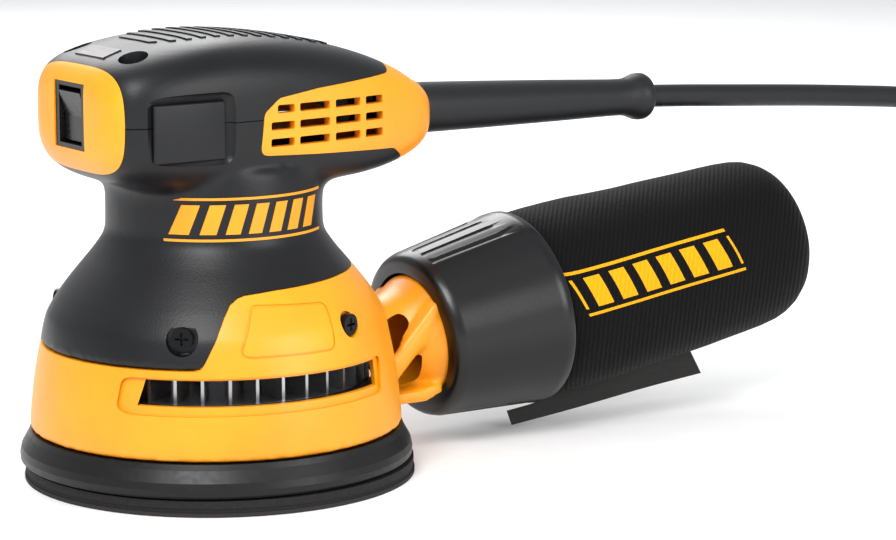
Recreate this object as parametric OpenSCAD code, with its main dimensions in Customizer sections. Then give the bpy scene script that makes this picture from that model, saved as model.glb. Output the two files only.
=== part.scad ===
// Palm-grip random orbital sander with a twist-on dust bag and a mains lead.
// Z is up. The origin is on the motor axis at the sanding face.
// +X points to the lead and the dust bag, -X to the switch.
// All sizes are in millimetres.

/* [Sanding pad] */
// Diameter of the abrasive disc
disc_d = 125; // [115:1:150]
// Thickness of the abrasive disc
disc_t = 1.2; // [0.8:0.1:1.6]
// Thickness of the hook layer
hook_t = 1.4; // [1:0.1:1.8]
// Thickness of the foam cushion
foam_t = 8.4; // [7:0.1:9]
// Thickness of the plate that backs the foam
plate_t = 3; // [2.5:0.1:3.4]
// Orbit diameter: the pad's centre circles the motor axis at half of this
orbit_d = 2.4; // [1.6:0.2:4]
// Number of dust holes
dust_holes = 8; // [5:1:8]
// Diameter of a dust hole
dust_hole_d = 9; // [7:0.5:10]
// Diameter of the circle that the dust holes lie on
dust_pcd = 65; // [60:1:70]

/* [Shroud and bell] */
// Outside radius of the shroud at its lower edge
shroud_r = 59.6; // [57:0.2:66]
// Height of the shroud's lower edge
shroud_z = 16; // [15.5:0.1:18]
// Outside radius where the bell turns in towards the neck
shoulder_r = 54.2; // [52:0.2:60]
// Height where the bell turns in towards the neck
shoulder_z = 52.7; // [51:0.1:56]
// Outside radius of the neck
neck_r = 34.5; // [33:0.1:38]
// Height where the bell meets the neck
neck_z = 78.6; // [76:0.2:84]
// Thickness of the moulded walls
wall = 3; // [2.4:0.1:3.4]
// Height of the joint between bell and shroud at the front
joint_z = 44; // [42:0.5:47]
// Height of the same joint at the back
joint_rear_z = 66.5; // [62:0.5:69]
// Height of the fan window
window_h = 8; // [6:0.5:9]
// Height of the lower edge of the fan window
window_z = 33; // [32.4:0.2:35]

/* [Handle] */
// Length of the handle
handle_l = 124; // [120:1:150]
// Width of the handle
handle_w = 67; // [64:1:76]
// Height of the top of the palm rest
palm_z = 143; // [138:1:155]
// Height of the handle's underside at the neck
grip_z = 92.5; // [90:0.5:95]
// Height of the seam between the handle's two halves
seam_z = 117; // [114:1:119]
// How far in front of the motor axis the handle starts
handle_front = 51; // [50:1:56]

/* [Motor] */
// Diameter of the motor shaft in its lower bearing
shaft_d = 10; // [9:0.5:12]
// Radius of the armature core
core_r = 19.5; // [18:0.1:21]
// Height of the laminated stack
stack_h = 25; // [20:1:26]
// Air gap between armature and field
air_gap = 0.5; // [0.3:0.1:0.8]
// Radius of the fan
fan_r = 49; // [46:0.5:49.4]
// Number of fan blades on the cooling side
fan_blades = 36; // [12:1:40]

/* [Dust port and bag] */
// Bore of the dust port
port_bore_d = 32.4; // [28:0.2:33]
// Wall of the dust port's nozzle
port_wall = 2.3; // [1.8:0.1:2.6]
// Radius of the port's flange
flange_r = 21; // [20.5:0.1:23]
// Tilt of the port's axis above the horizontal
port_tilt = 7.4; // [0:0.2:12]
// Length of the nozzle behind the flange
nozzle_l = 22; // [16:1:26]
// Length of the locking collar
collar_l = 44; // [40:1:50]
// Outside radius of the bag at its mouth
bag_r = 32.6; // [31:0.2:40]
// Length of the bag behind the collar
bag_l = 113; // [90:1:160]
// Thickness of the bag's cloth
cloth_t = 1.6; // [1:0.1:2]

/* [Mains lead] */
// Diameter of the lead
cord_d = 7.8; // [6:0.2:9]
// Diameter of the strain relief where it leaves the handle
relief_d = 17; // [14:0.5:19]

/* [Fits] */
// Radial clearance of running fits
running = 0.05; // [0.02:0.01:0.08]
// Clearance between pieces that are assembled and stay put
seat = 0.1; // [0:0.05:0.2]

/* [Hidden] */
$fn = 96;
e = orbit_d / 2;                         // offset of the pad's axis
disc_r = disc_d / 2;
hook_z = disc_t;
foam_z = hook_z + hook_t;
plate_z = foam_z + foam_t;
plate_top = plate_z + plate_t;

hub_z = plate_top + 2.5;                 // top of the pad spindle's flange
bearing_w = 8;                           // pad bearing, 12 x 28 x 8
pad_bearing_z = hub_z + 0.7;
pad_bearing_top = pad_bearing_z + bearing_w;
spindle_r = 6;
pad_bearing_r = 14;

fan_plate_z = window_z - 2.4;            // underside of the fan's plate
fan_plate_t = 1.5;
fan_top = window_z + window_h;
lower_bearing_z = fan_top + 4.5;         // 10 x 30 x 9
lower_bearing_w = 9;
lower_bearing_r = 15;
bracket_z = lower_bearing_z - 1.5;
bracket_top = lower_bearing_z + lower_bearing_w + 2.5;
stack_z = bracket_top + 6.5;
stack_top = stack_z + stack_h;
winding_h = 5;
commutator_z = stack_top + winding_h + 1.5;
commutator_h = 11;
commutator_r = 11;
brush_z = commutator_z + commutator_h / 2;
upper_bearing_z = commutator_z + commutator_h + 2;   // 8 x 22 x 7
upper_bearing_w = 7;
upper_bearing_r = 11;
journal_r = 4;
shaft_r = shaft_d / 2;

neck_top = grip_z + 6;                   // the neck ends inside the handle
brush_bay_r = 24;                        // opening in the neck's top
field_r = neck_r - wall - seat;          // the field fills the neck
bell_in = shoulder_r - wall;             // inside radius at the shoulder
rim_r = bell_in - 0.6 - seat;            // the bearing bracket's rim

port_x = 78;                             // centre of the flange's rear face
port_z = 36;
nozzle_r = port_bore_d / 2 + port_wall;
neck_in = nozzle_r + 0.4;                // the bag's neck slides over the nozzle
neck_out = flange_r + 0.3;
lug_h = 2.8;                             // height of a bayonet lug
flange_back = 4;                         // flange behind the port's centre
collar_front = -3;

handle_rear = handle_l - handle_front;
cap_x = 4 - handle_front;                // joint between front cap and handle
cap_rear = handle_rear - 15;             // joint between handle and vent cap
switch_z = 118.7;
switch_x = 0.6 - handle_front;           // face of the switch's bezel

// The lead's route, from the strain relief's end to the coil.
cord_route = [
    [172, 0, 109.6], [190, 0, 108.6], [210, 0, 107.3], [230, 0, 106],
    [250, 0, 104.6], [270, 0, 103], [290, 0, 101.2], [306, 0, 98.4],
    [321, 0, 93.6], [335, 0, 86.4], [347, 0, 76.8], [357, -0.2, 65.4],
    [365.5, -0.6, 53], [374, -1.2, 40.8], [383.5, -2.2, 29.4],
    [394.5, -3.6, 19.4], [407, -5.6, 11.4], [420.5, -8.4, 6.4],
    [434.5, -12, 4.4], [448, -16, 4]
];
coil_r = 44;                             // radius at the middle of the turns
coil_layers = 4;
coil_centre = [435.5, -58];
coil_h = cord_d * (1 + 0.9 * (coil_layers - 1));
tie_angle = 330;

yellow = "#f8ac12";
black = "#2b2d31";
rubber = "#1f2023";
steel = "#b9bcc0";
copper = "#b46a36";
cloth = "#17181a";

// ---------- helpers ----------

function smooth(t) = let (u = min(max(t, 0), 1)) u * u * (3 - 2 * u);
function mix(a, b, t) = a + (b - a) * t;
function sgn_pow(v, p) = sign(v) * pow(abs(v), p);

squareness = 0.5;                        // below 1 squares the handle's section

// Points of an arc that rounds the corner p1 of the path p0, p1, p2.
function rounded(p0, p1, p2, r, n = 5) =
    let (u = (p0 - p1) / norm(p0 - p1), v = (p2 - p1) / norm(p2 - p1),
         half = acos(u * v) / 2, reach = r / tan(half),
         c = p1 + (u + v) / norm(u + v) * r / sin(half),
         s = p1 + u * reach - c, t = p1 + v * reach - c,
         a0 = atan2(s.y, s.x), turn = atan2(s.x * t.y - s.y * t.x, s * t))
    [for (i = [0:n]) c + r * [cos(a0 + turn * i / n), sin(a0 + turn * i / n)]];

// A tube wall turned round Z: outer and inner radius, low and high end.
module ring(r_out, r_in, z0, z1) {
    rotate_extrude() translate([r_in, z0]) square([r_out - r_in, z1 - z0]);
}

// Part of a ring, between two angles.
module sector(r_out, r_in, z0, z1, a0, a1) {
    rotate([0, 0, a0]) rotate_extrude(angle = a1 - a0)
        translate([r_in, z0]) square([r_out - r_in, z1 - z0]);
}

// A plate standing in the XZ plane, drawn as x and z.
module upright(points, y, t) {
    translate([0, y + t / 2, 0]) rotate([90, 0, 0])
        linear_extrude(t) polygon(points);
}

module rounded_rect(w, h, r) {
    union() {
        square([w - 2 * r, h], center = true);
        square([w, h - 2 * r], center = true);
        for (x = [-1, 1], y = [-1, 1])
            translate([x * (w / 2 - r), y * (h / 2 - r)]) circle(r, $fn = 32);
    }
}

module both_sides() {
    children();
    mirror([0, 1, 0]) children();
}

// Pan-head screw along Z: its head's top is at z = 0.
module screw(head_r, r, l, head_h = 2.2) {
    difference() {
        union() {
            translate([0, 0, -head_h]) cylinder(r = head_r, h = head_h, $fn = 32);
            translate([0, 0, -l]) cylinder(r = r, h = l - head_h / 2, $fn = 24);
        }
        for (a = [0, 90]) rotate([0, 0, a])
            translate([0, 0, -0.5]) cube([head_r * 1.2, 0.7, 1.4], center = true);
    }
}

// Ball bearing along Z, drawn as two rings joined by its shields.
module bearing(r_out, r_in, z0, w) {
    difference() {
        ring(r_out, r_in, z0, z0 + w);
        for (z = [z0 - 1, z0 + w - 0.4])
            ring(mix(r_in, r_out, 0.72), mix(r_in, r_out, 0.28), z, z + 1.4);
    }
}

// ---------- outer form ----------

// Half-section of shroud, bell and neck, drawn in by inset.
function body_path(inset, top) = concat(
    [[shroud_r - inset, shroud_z]],
    rounded([shroud_r - inset, shroud_z], [shoulder_r - inset, shoulder_z],
            [neck_r - inset, neck_z], 18),
    rounded([shoulder_r - inset, shoulder_z], [neck_r - inset, neck_z],
            [neck_r - inset, top], 12),
    [[neck_r - inset, top]]
);

module body_shell(top) {
    rotate_extrude($fn = 64) difference() {
        polygon(concat([[0, shroud_z]], body_path(0, top), [[0, top]]));
        polygon(concat([[-1, shroud_z - 1], [shroud_r - wall, shroud_z - 1]],
                       body_path(wall, top + 1), [[-1, top + 1]]));
    }
}

// Inside radius of the shroud's wall at a height.
function shroud_in(z) =
    mix(shroud_r, shoulder_r, (z - shroud_z) / (shoulder_z - shroud_z)) - wall;

// Outside radius of the bell's slope at a height.
function bell_r(z) = mix(shoulder_r, neck_r, (z - shoulder_z) / (neck_z - shoulder_z));

// The joint between bell and shroud, as a height over X.
function joint_at(x) =
    mix(joint_z, joint_rear_z, smooth((x + shroud_r * 0.58) / (shroud_r * 0.36)));

module below_joint(gap = 0) {
    far = 2 * shroud_r;
    line = [for (i = [20:-1:0]) let (x = mix(-40, 20, i / 20)) [x, joint_at(x) - gap]];
    rotate([90, 0, 0]) linear_extrude(2 * far, center = true)
        polygon(concat([[-far, 0], [far, 0], [far, joint_rear_z - gap]], line,
                       [[-far, joint_z - gap]]));
}

// The handle's stations: share of its length, share of its half-width,
// underside above grip_z and top below palm_z.
stations = [
    [0.000, 0.56, 15.0, 14.0], [0.009, 0.69, 12.0, 11.6],
    [0.027, 0.82, 9.0, 9.0], [0.055, 0.92, 6.4, 6.6],
    [0.107, 0.98, 3.8, 4.4], [0.188, 1.00, 1.6, 2.2],
    [0.333, 1.00, 0.0, 0.2], [0.512, 0.97, 0.0, 1.6],
    [0.672, 0.90, 0.4, 5.0], [0.800, 0.81, 1.8, 9.6],
    [0.895, 0.72, 4.6, 14.6], [0.960, 0.62, 8.2, 19.4],
    [0.990, 0.50, 12.0, 22.8], [1.000, 0.38, 15.0, 25.0]
];

// One cross-section of the handle, a thin slice across X.
module slice(s, inset) {
    x = mix(-handle_front + inset, handle_rear - inset, s[0]);
    low = grip_z + s[2] + inset;
    high = palm_z - s[3] - inset;
    half_w = handle_w / 2 * s[1] - inset;
    half_h = (high - low) / 2;
    translate([x, 0, (low + high) / 2]) rotate([90, 0, 90])
        linear_extrude(0.02) polygon([
            for (a = [0:12:348])
                [half_w * sgn_pow(cos(a), squareness), half_h * sgn_pow(sin(a), squareness)]
        ]);
}

module handle_form(inset = 0) {
    for (i = [0:len(stations) - 2]) hull() {
        slice(stations[i], inset);
        slice(stations[i + 1], inset);
    }
}

module handle_shell() {
    difference() {
        handle_form();
        handle_form(wall);
    }
}

// The space in front of the front cap's joint.
module cap_zone(gap = 0) {
    translate([cap_x - gap - 60, -60, grip_z - 10]) cube([60, 120, 90]);
}

// The space that the vent cap takes: the rear end and a panel on each side.
module vent_zone(grow = 0) {
    translate([cap_rear - grow, -60, grip_z - 10]) cube([80, 120, 90]);
    both_sides() upright([
        [-2 - grow, 106 - grow], [cap_rear + 1, 104.6 - grow],
        [cap_rear + 1, 126.4 + grow], [6 - grow, 124.4 + grow],
        [-1 - grow, 119 + grow]
    ], -handle_w / 2, handle_w * 0.62);
}

// ---------- casings ----------

front_screw = [cap_x + 9, 18];
rear_screw = [cap_rear + 5, 13.5];

module screw_post(at, z0, z1, r) {
    both_sides() translate([at.x, at.y, z0]) cylinder(r = r, h = z1 - z0, $fn = 32);
}

module motor_housing() color(black) difference() {
    union() {
        intersection() {
            difference() {
                handle_form();
                handle_form(wall);
            }
            translate([-100, -60, 60]) cube([200, 120, seam_z - 60]);
        }
        difference() {
            body_shell(neck_top);
            below_joint(-seat);
        }
        ring(neck_r, brush_bay_r, neck_top - wall, neck_top);
        intersection() {
            screw_post(front_screw, grip_z, seam_z, 4.6);
            handle_form(1);
        }
    }
    translate([0, 0, neck_z]) cylinder(r = neck_r - wall, h = neck_top - wall - neck_z);
    translate([0, 0, neck_z]) cylinder(r = brush_bay_r, h = neck_top - neck_z);
    cap_zone(-seat);
    vent_zone(seat);
    finger_slabs(seat);
    screw_post(front_screw, grip_z + 8, seam_z + 1, 1.8);
    bell_screw_holes(5.4, 2.2);
    translate([0, 0, -1]) shroud_screw_holes(seat);
}

module top_cover() color(black) difference() {
    union() {
        intersection() {
            handle_shell();
            translate([-100, -60, seam_z]) cube([200, 120, 60]);
        }
        intersection() {
            union() {
                screw_post(front_screw, seam_z, palm_z, 6.4);
                translate([0, 0, upper_bearing_z - 0.6])
                    cylinder(r = upper_bearing_r + 5.5, h = 60);
            }
            handle_form(1);
        }
    }
    translate([0, 0, upper_bearing_z - 2])
        cylinder(r = upper_bearing_r + 2.5 + seat, h = upper_bearing_w + 4.5);
    cap_zone(-seat);
    vent_zone(seat);
    finger_slabs(seat);
    palm_slab(seat);
    badge_slab(seat);
    screw_post(front_screw, seam_z - 1, palm_z, 2.3);
    screw_post(front_screw, palm_z - 13.3, palm_z, 4.4);
    translate([switch_x - 1, -9.6 - seat, switch_z - 10.2 - seat])
        cube([7.6, 19.2 + 2 * seat, 20.4 + 2 * seat]);
}

module front_cap() color(yellow) difference() {
    intersection() {
        handle_shell();
        cap_zone();
    }
    translate([-handle_front, 0, switch_z])
        cube([12, 19.2 + 2 * seat, 20.4 + 2 * seat], center = true);
}

module vent_cap() color(yellow) difference() {
    intersection() {
        union() {
            handle_shell();
            intersection() {
                screw_post(rear_screw, grip_z, palm_z, 5.4);
                handle_form(1);
            }
            intersection() {
                translate([cap_rear + 2, -8, grip_z]) cube([7, 16, 14.5]);
                handle_form(1);
            }
        }
        vent_zone();
    }
    for (row = [0:2], col = [0:3])
        translate([mix(7.5, 43.5, col / 3), 0, mix(109.6, 120.4, row / 2)])
            rotate([0, -1, 0]) cube([8.6, handle_w + 10, 2.6], center = true);
    relief_axis() translate([0, 0, -12]) cylinder(r = relief_d / 2 - 2 + seat, h = 20);
    screw_post(rear_screw, grip_z + 6, palm_z, 1.8);
    screw_post(rear_screw, 117, palm_z, 4.2);
}

// Rubber ridged inlay under the palm.
module palm_outline() {
    hull() {
        translate([-15.5, 0]) circle(18, $fn = 48);
        translate([30, 0]) circle(13, $fn = 48);
    }
}

module palm_slab(grow = 0) {
    intersection() {
        difference() {
            handle_form(-0.5 - grow);
            handle_form(1.4 + grow);
        }
        translate([0, 0, 125]) linear_extrude(40) offset(grow) palm_outline();
    }
}

module palm_pad() color(rubber) palm_slab();

// Soft inlays that the fingers and thumb press on.
module finger_slabs(grow = 0) {
    intersection() {
        difference() {
            handle_form(-0.3 - grow);
            handle_form(1.2 + grow);
        }
        translate([-26.5, 0, 115]) rotate([90, 0, 0])
            linear_extrude(handle_w + 10, center = true)
                rounded_rect(25 + 2 * grow, 18 + 2 * grow, 3);
    }
}

module finger_pads() color(rubber) finger_slabs();

// Blank rating plate at the front of the top.
module badge_slab(grow = 0) {
    intersection() {
        difference() {
            handle_form(-0.2 - grow);
            handle_form(0.8 + grow);
        }
        translate([cap_x + 3.4, -9 - grow, palm_z - 18])
            cube([6.5, 18 + 2 * grow, 30]);
    }
}

module badge_plate() color("#3a3b3f") badge_slab();

// ---------- shroud ----------

// Puts its children on the dust port's axis, Z' along it and X' downwards.
module at_port(s = 0) {
    translate([port_x, 0, port_z]) rotate([0, 90 - port_tilt, 0])
        translate([0, 0, s]) children();
}

module duct_form(r, half_y, z0, z1, s, x) {
    hull() {
        at_port(s - 1) cylinder(r = r, h = 1, $fn = 64);
        translate([x, -half_y, z0]) cube([1, 2 * half_y, z1 - z0]);
    }
}

shroud_screw_az = 68.7;
bell_screw_az = 131;
screw_z = 53.6;

module radial(az, z) {
    both_sides() rotate([0, 0, -az]) translate([0, 0, z]) rotate([0, 90, 0]) children();
}

module shroud_screw_holes(grow = 0) {
    radial(shroud_screw_az, screw_z) {
        translate([0, 0, rim_r - 1]) cylinder(r = 4.6 + grow, h = 12, $fn = 32);
    }
}

module bell_screw_holes(head_r, r) {
    radial(bell_screw_az, screw_z) {
        translate([0, 0, shoulder_r - 2.2]) cylinder(r = head_r, h = 12, $fn = 32);
        translate([0, 0, rim_r - 3]) cylinder(r = r, h = 12, $fn = 24);
    }
}

// A rounded rib between two points, t thick across Y.
module rib(p, q, r, t = 2.6) {
    hull() for (at = [p, q])
        translate(at) rotate([90, 0, 0]) cylinder(r = r, h = t, center = true, $fn = 16);
}

// Ribs on one side of the duct: a strut up to the flange, a foot and a shelf.
module duct_ribs() {
    foot = [shroud_r - 9, 20, shroud_z + 5];
    rib(foot, [port_x - 6, 17, port_z + 9], 1.6);
    rib(foot, [port_x - 9, 17, port_z - 12], 1.6);
    rib([port_x - 9, 17, port_z - 12], [port_x - 6, 17, port_z + 9], 1.6);
    for (k = [0:2]) hull() {
        translate([shroud_r - 30 + 3 * k, 46 - 3 * k, shroud_z + 9.6 - 2.6 * k]) sphere(1.2, $fn = 12);
        translate([shroud_r - 12, 33 - 3 * k, shroud_z + 11.2 - 2.6 * k]) sphere(1.2, $fn = 12);
    }
}

module shroud() color(yellow) difference() {
    union() {
        intersection() {
            body_shell(neck_z + 10);
            below_joint();
        }
        duct_form(flange_r, 15, shroud_z + 3.5, joint_z + 1, -9, shroud_r - 8);
        at_port(-10) cylinder(r = flange_r, h = 10 + flange_back);
        at_port() cylinder(r = nozzle_r, h = flange_back + nozzle_l);
        both_sides() at_port(0.6) intersection() {
            cylinder(r = flange_r + lug_h, h = 2.8);
            rotate([0, 0, 80]) rotate_extrude(angle = 20) square([40, 5]);
        }
        both_sides() duct_ribs();
        duct_shelf();
        radial(shroud_screw_az, screw_z)
            translate([0, 0, rim_r + seat]) cylinder(r = 5, h = 3, $fn = 32);
    }
    duct_form(port_bore_d / 2, 12, shroud_z + 7, joint_z - 4, -8, shroud_r - 12);
    at_port(-8.5) cylinder(r = port_bore_d / 2, h = 60);
    both_sides() sector(shroud_r + 5, fan_r + 1, window_z, window_z + window_h, 61, 134);
    ring(shroud_r + 20, shroud_r - wall - 30, -5, shroud_z);
    ring(disc_r + 1.5, shroud_r + 0.5, shroud_z - 1, shroud_z + 1.2);
    radial(shroud_screw_az, screw_z) {
        translate([0, 0, rim_r - 4]) cylinder(r = 2.2, h = 20, $fn = 24);
        translate([0, 0, shoulder_r - 2.9]) cylinder(r = 3.8, h = 20, $fn = 32);
    }
}

// Shelf that ties the duct to the shroud.
module duct_shelf() {
    translate([0, 0, shroud_z + 3]) linear_extrude(2.6) difference() {
        polygon([
            [shroud_r - 16, -33], [port_x - 5, -19], [port_x - 5, 19], [shroud_r - 16, 33]
        ]);
        circle(shroud_r - wall);
    }
}

// Rubber skirt that closes the gap to the pad and brakes its spin.
module brake_skirt() color(rubber) rotate_extrude() difference() {
    polygon([
        [shroud_r - wall - 1.6, shroud_z + 1.8], [shroud_r - wall - 0.45, shroud_z + 1.8],
        [shroud_r - wall - 0.2, shroud_z - seat], [shroud_r, shroud_z - seat],
        [disc_r - 2.2, 14.2], [disc_r - 0.2, 10.6], [disc_r + 0.3, 8.4],
        [disc_r + 0.2, 6.6], [disc_r - 0.6, 5.8], [disc_r - 5, 5.8],
        [disc_r - 5, 7.4], [disc_r - 2.6, 8.2], [disc_r - 2.8, 10.4],
        [disc_r - 4.6, 13], [shroud_r - wall - 1.6, 15]
    ]);
    translate([0, -1]) square([1, 1]);
}

// Ring that keeps the cooling air apart from the dust.
module fan_baffle() color(black) difference() {
    ring(shroud_in(fan_plate_z + 1.6) - 0.25, fan_r + 1, fan_plate_z, fan_plate_z + 1.6);
    translate([shroud_r - 8 - seat, -17, fan_plate_z - 1]) cube([20, 34, 4]);
}

// ---------- motor ----------

module bearing_bracket() color("#8d9196") difference() {
    union() {
        ring(lower_bearing_r + 4, lower_bearing_r, bracket_z, bracket_top);
        ring(rim_r, lower_bearing_r + 2, bracket_z, bracket_z + 2.5);
        rotate_extrude() polygon([
            [rim_r - 7, bracket_z], [rim_r, bracket_z], [rim_r, screw_z - 3.6],
            [bell_r(screw_z + 4) - wall - 0.8, screw_z + 4], [rim_r - 7, screw_z + 4]
        ]);
        ring(lower_bearing_r + 3, shaft_r + 3, bracket_top - 2.5, bracket_top);
    }
    for (a = [22.5:45:337.5])
        sector(rim_r - 9, lower_bearing_r + 6, bracket_z - 1, bracket_z + 4, a - 15, a + 15);
    radial(shroud_screw_az, screw_z) translate([0, 0, rim_r - 5.6])
        cylinder(r = 1.6, h = 10, $fn = 24);
    radial(bell_screw_az, screw_z) translate([0, 0, rim_r - 5.6])
        cylinder(r = 1.6, h = 10, $fn = 24);
}

module lower_bearing() color(steel)
    bearing(lower_bearing_r, shaft_r + running, lower_bearing_z, lower_bearing_w);

module upper_bearing() color(steel)
    bearing(upper_bearing_r, journal_r + running, upper_bearing_z, upper_bearing_w);

module bearing_boot() color(rubber) union() {
    ring(upper_bearing_r + 2.5, upper_bearing_r, upper_bearing_z, upper_bearing_z + upper_bearing_w);
    ring(upper_bearing_r + 2.5, journal_r + 2, upper_bearing_z + upper_bearing_w,
         upper_bearing_z + upper_bearing_w + 2);
}

module motor_field() color("#6d7075") difference() {
    translate([0, 0, stack_z]) cylinder(r = field_r, h = stack_h);
    translate([0, 0, stack_z - 1]) cylinder(r = core_r + air_gap, h = stack_h + 2);
    for (a = [0, 180]) rotate([0, 0, a]) translate([0, 0, stack_z - 1])
        sector(field_r - 4.5, core_r - 1, 0, stack_h + 2, 62, 118);
    for (a = [0, 180]) rotate([0, 0, a]) translate([field_r - 3.6, 0, stack_z - 1])
        cylinder(r = 2.2, h = stack_h + 2, $fn = 24);
}

module field_windings() color(copper) for (a = [0, 180]) rotate([0, 0, a])
    sector(field_r - 4.7, core_r + air_gap + 0.6, stack_z - winding_h,
           stack_top + winding_h, 64, 116);

module field_screws() color(steel) for (a = [0, 180]) rotate([0, 0, a])
    translate([field_r - 3.6, 0, stack_top + 2.2]) screw(3.4, 2, stack_h + 5);

holder_l = 10;
brush_l = 7.5;

module brush_holders() color("#b08d3c") both_sides() difference() {
    translate([-5.5, commutator_r + 2.2, brush_z - 4.5]) cube([11, holder_l, 9]);
    translate([-4.1, commutator_r, brush_z - 3.1]) cube([8.2, holder_l + 0.8, 6.2]);
}

// Carbon brush in its holder, pressed on the commutator.
module brush() {
    difference() {
        translate([-4, commutator_r - 1, brush_z - 3]) cube([8, brush_l, 6]);
        translate([0, 0, brush_z - 4]) cylinder(r = commutator_r + running, h = 8);
    }
}

module brush_left() color("#3b3b3d") mirror([0, 1, 0]) brush();

module brush_right() color("#3b3b3d") brush();

module brush_spring() {
    translate([0, commutator_r + brush_l - 0.9, brush_z]) rotate([-90, 0, 0])
        ring(2.6, 1.8, 0, holder_l + 1.65 - brush_l);
}

module brush_spring_left() color(steel) mirror([0, 1, 0]) brush_spring();

module brush_spring_right() color(steel) brush_spring();

module armature_shaft() color(steel) union() {
    translate([0, 0, pad_bearing_top + 1.5])
        cylinder(r = shaft_r, h = commutator_z - pad_bearing_top - 1.5);
    translate([0, 0, commutator_z]) cylinder(
        r = journal_r, h = upper_bearing_z + upper_bearing_w + 1 - commutator_z);
}

module armature_core() color("#7c7f84") difference() {
    translate([0, 0, stack_z]) cylinder(r = core_r, h = stack_h);
    translate([0, 0, stack_z - 1]) cylinder(r = shaft_r, h = stack_h + 2);
    for (a = [0:30:330]) rotate([0, 0, a]) translate([core_r - 3, -0.8, stack_z - 1])
        cube([4, 1.6, stack_h + 2]);
}

module armature_windings() color(copper) union() {
    ring(core_r - 3, shaft_r, stack_z - winding_h + 0.8, stack_z);
    ring(core_r - 3, shaft_r, stack_top, stack_top + winding_h - 1);
}

module commutator() color("#c07a45") difference() {
    ring(commutator_r, journal_r, commutator_z, commutator_z + commutator_h);
    for (a = [0:20:340]) rotate([0, 0, a])
        translate([commutator_r - 0.5, -0.25, commutator_z - 1])
            cube([2, 0.5, commutator_h + 2]);
}

// Fan: cooling blades above its plate and dust blades below.
module fan() color("#c9ccd0") union() {
    difference() {
        translate([0, 0, fan_plate_z]) cylinder(r = fan_r, h = fan_plate_t);
        translate([0, 0, fan_plate_z - 1]) cylinder(r = shaft_r, h = 5);
    }
    ring(shaft_r + 5, shaft_r, fan_plate_z, fan_top);
    for (i = [0:fan_blades - 1]) rotate([0, 0, (i + 0.5) * 360 / fan_blades])
        translate([fan_r - 15, -0.5, fan_plate_z + fan_plate_t / 2])
            cube([15 - 0.4, 1, fan_top - fan_plate_z - fan_plate_t / 2]);
    for (i = [0:8]) rotate([0, 0, i * 40])
        translate([26, -0.6, fan_plate_z - 8]) cube([fan_r - 28, 1.2, 8.5]);
}

// Eccentric boss that holds the pad's bearing, with its counterweight.
module counterweight() color("#9a9da2") difference() {
    union() {
        translate([e, 0, hub_z + 0.5])
            cylinder(r = pad_bearing_r + 3.5, h = pad_bearing_top + 1.5 - hub_z - 0.5);
        translate([0, 0, pad_bearing_top + 0.8])
            cylinder(r = shaft_r + 5, h = fan_plate_z - pad_bearing_top - 0.8);
        sector(24, pad_bearing_r + 1.6, hub_z + 3, pad_bearing_top + 0.8, 115, 245);
    }
    translate([e, 0, hub_z]) cylinder(r = pad_bearing_r, h = pad_bearing_top - hub_z);
    translate([0, 0, pad_bearing_top + 1.5]) cylinder(r = shaft_r, h = 20);
}

module pad_bearing() color(steel) translate([e, 0, 0])
    bearing(pad_bearing_r, spindle_r + running, pad_bearing_z, bearing_w);

// ---------- pad ----------

module pad_ring(r_out, r_in, z0, z1) {
    difference() {
        ring(r_out, r_in, z0, z1);
        for (i = [0:dust_holes - 1]) rotate([0, 0, (i + 0.5) * 360 / dust_holes])
            translate([dust_pcd / 2, 0, z0 - 1])
                cylinder(r = dust_hole_d / 2, h = z1 - z0 + 2, $fn = 48);
    }
}

centre_r = 17;                           // opening over the pad's screws

module pad_spindle() color(steel) translate([e, 0, 0]) difference() {
    union() {
        translate([0, 0, plate_top]) cylinder(r = 13, h = hub_z - plate_top);
        translate([0, 0, plate_top]) cylinder(r = spindle_r, h = pad_bearing_top - plate_top - 0.4);
    }
    for (a = [0:120:240]) rotate([0, 0, a])
        translate([9.5, 0, plate_top - 1]) cylinder(r = 1.6, h = 6, $fn = 24);
}

module pad_plate() color("#303236") translate([e, 0, 0]) difference() {
    pad_ring(disc_r - 10.5, 0, plate_z, plate_top);
    for (a = [0:120:240]) rotate([0, 0, a])
        translate([9.5, 0, plate_z - 1]) cylinder(r = 2, h = plate_t + 2, $fn = 24);
}

module pad_foam() color("#26272a") translate([e, 0, 0]) union() {
    pad_ring(disc_r - 0.3, centre_r, foam_z, foam_z + 2.4);
    pad_ring(disc_r - 8.5, centre_r, foam_z + 2.4, plate_z);
}

module hook_layer() color("#3c3d40") translate([e, 0, 0])
    pad_ring(disc_r - 0.6, centre_r, hook_z, foam_z);

module sanding_disc() color("#5b3b2e") translate([e, 0, 0])
    pad_ring(disc_r, 0, 0, disc_t);

module pad_screws() color(steel) translate([e, 0, 0]) for (a = [0:120:240])
    rotate([0, 0, a]) translate([9.5, 0, plate_z - 2.2]) rotate([180, 0, 0])
        screw(3.6, 1.55, 7);

// ---------- switch ----------

rocker_w = 13.6;
rocker_h = 16.6;
rocker_pivot = [switch_x + 4, 0, switch_z];
rocker_swing = 16;

module switch_bezel() color(black) difference() {
    translate([switch_x, -9.6, switch_z - 10.2]) cube([6.5, 19.2, 20.4]);
    translate([switch_x - 1, -rocker_w / 2 - 0.4, switch_z - rocker_h / 2 - 0.6])
        cube([10, rocker_w + 0.8, rocker_h + 1.2]);
    translate(rocker_pivot) rotate([90, 0, 0])
        cylinder(r = 1.5 + running, h = rocker_w + 4.4, center = true, $fn = 32);
}

module switch_body() color("#222326")
    translate([switch_x + 6.5, -9, switch_z - 9.8]) cube([19, 18, 19.6]);

module switch_terminals() color("#c7a552") for (z = [-5, 5], y = [-5, 5])
    translate([switch_x + 25.5, y - 2, switch_z + z - 0.4]) cube([6, 4, 0.8]);

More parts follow.
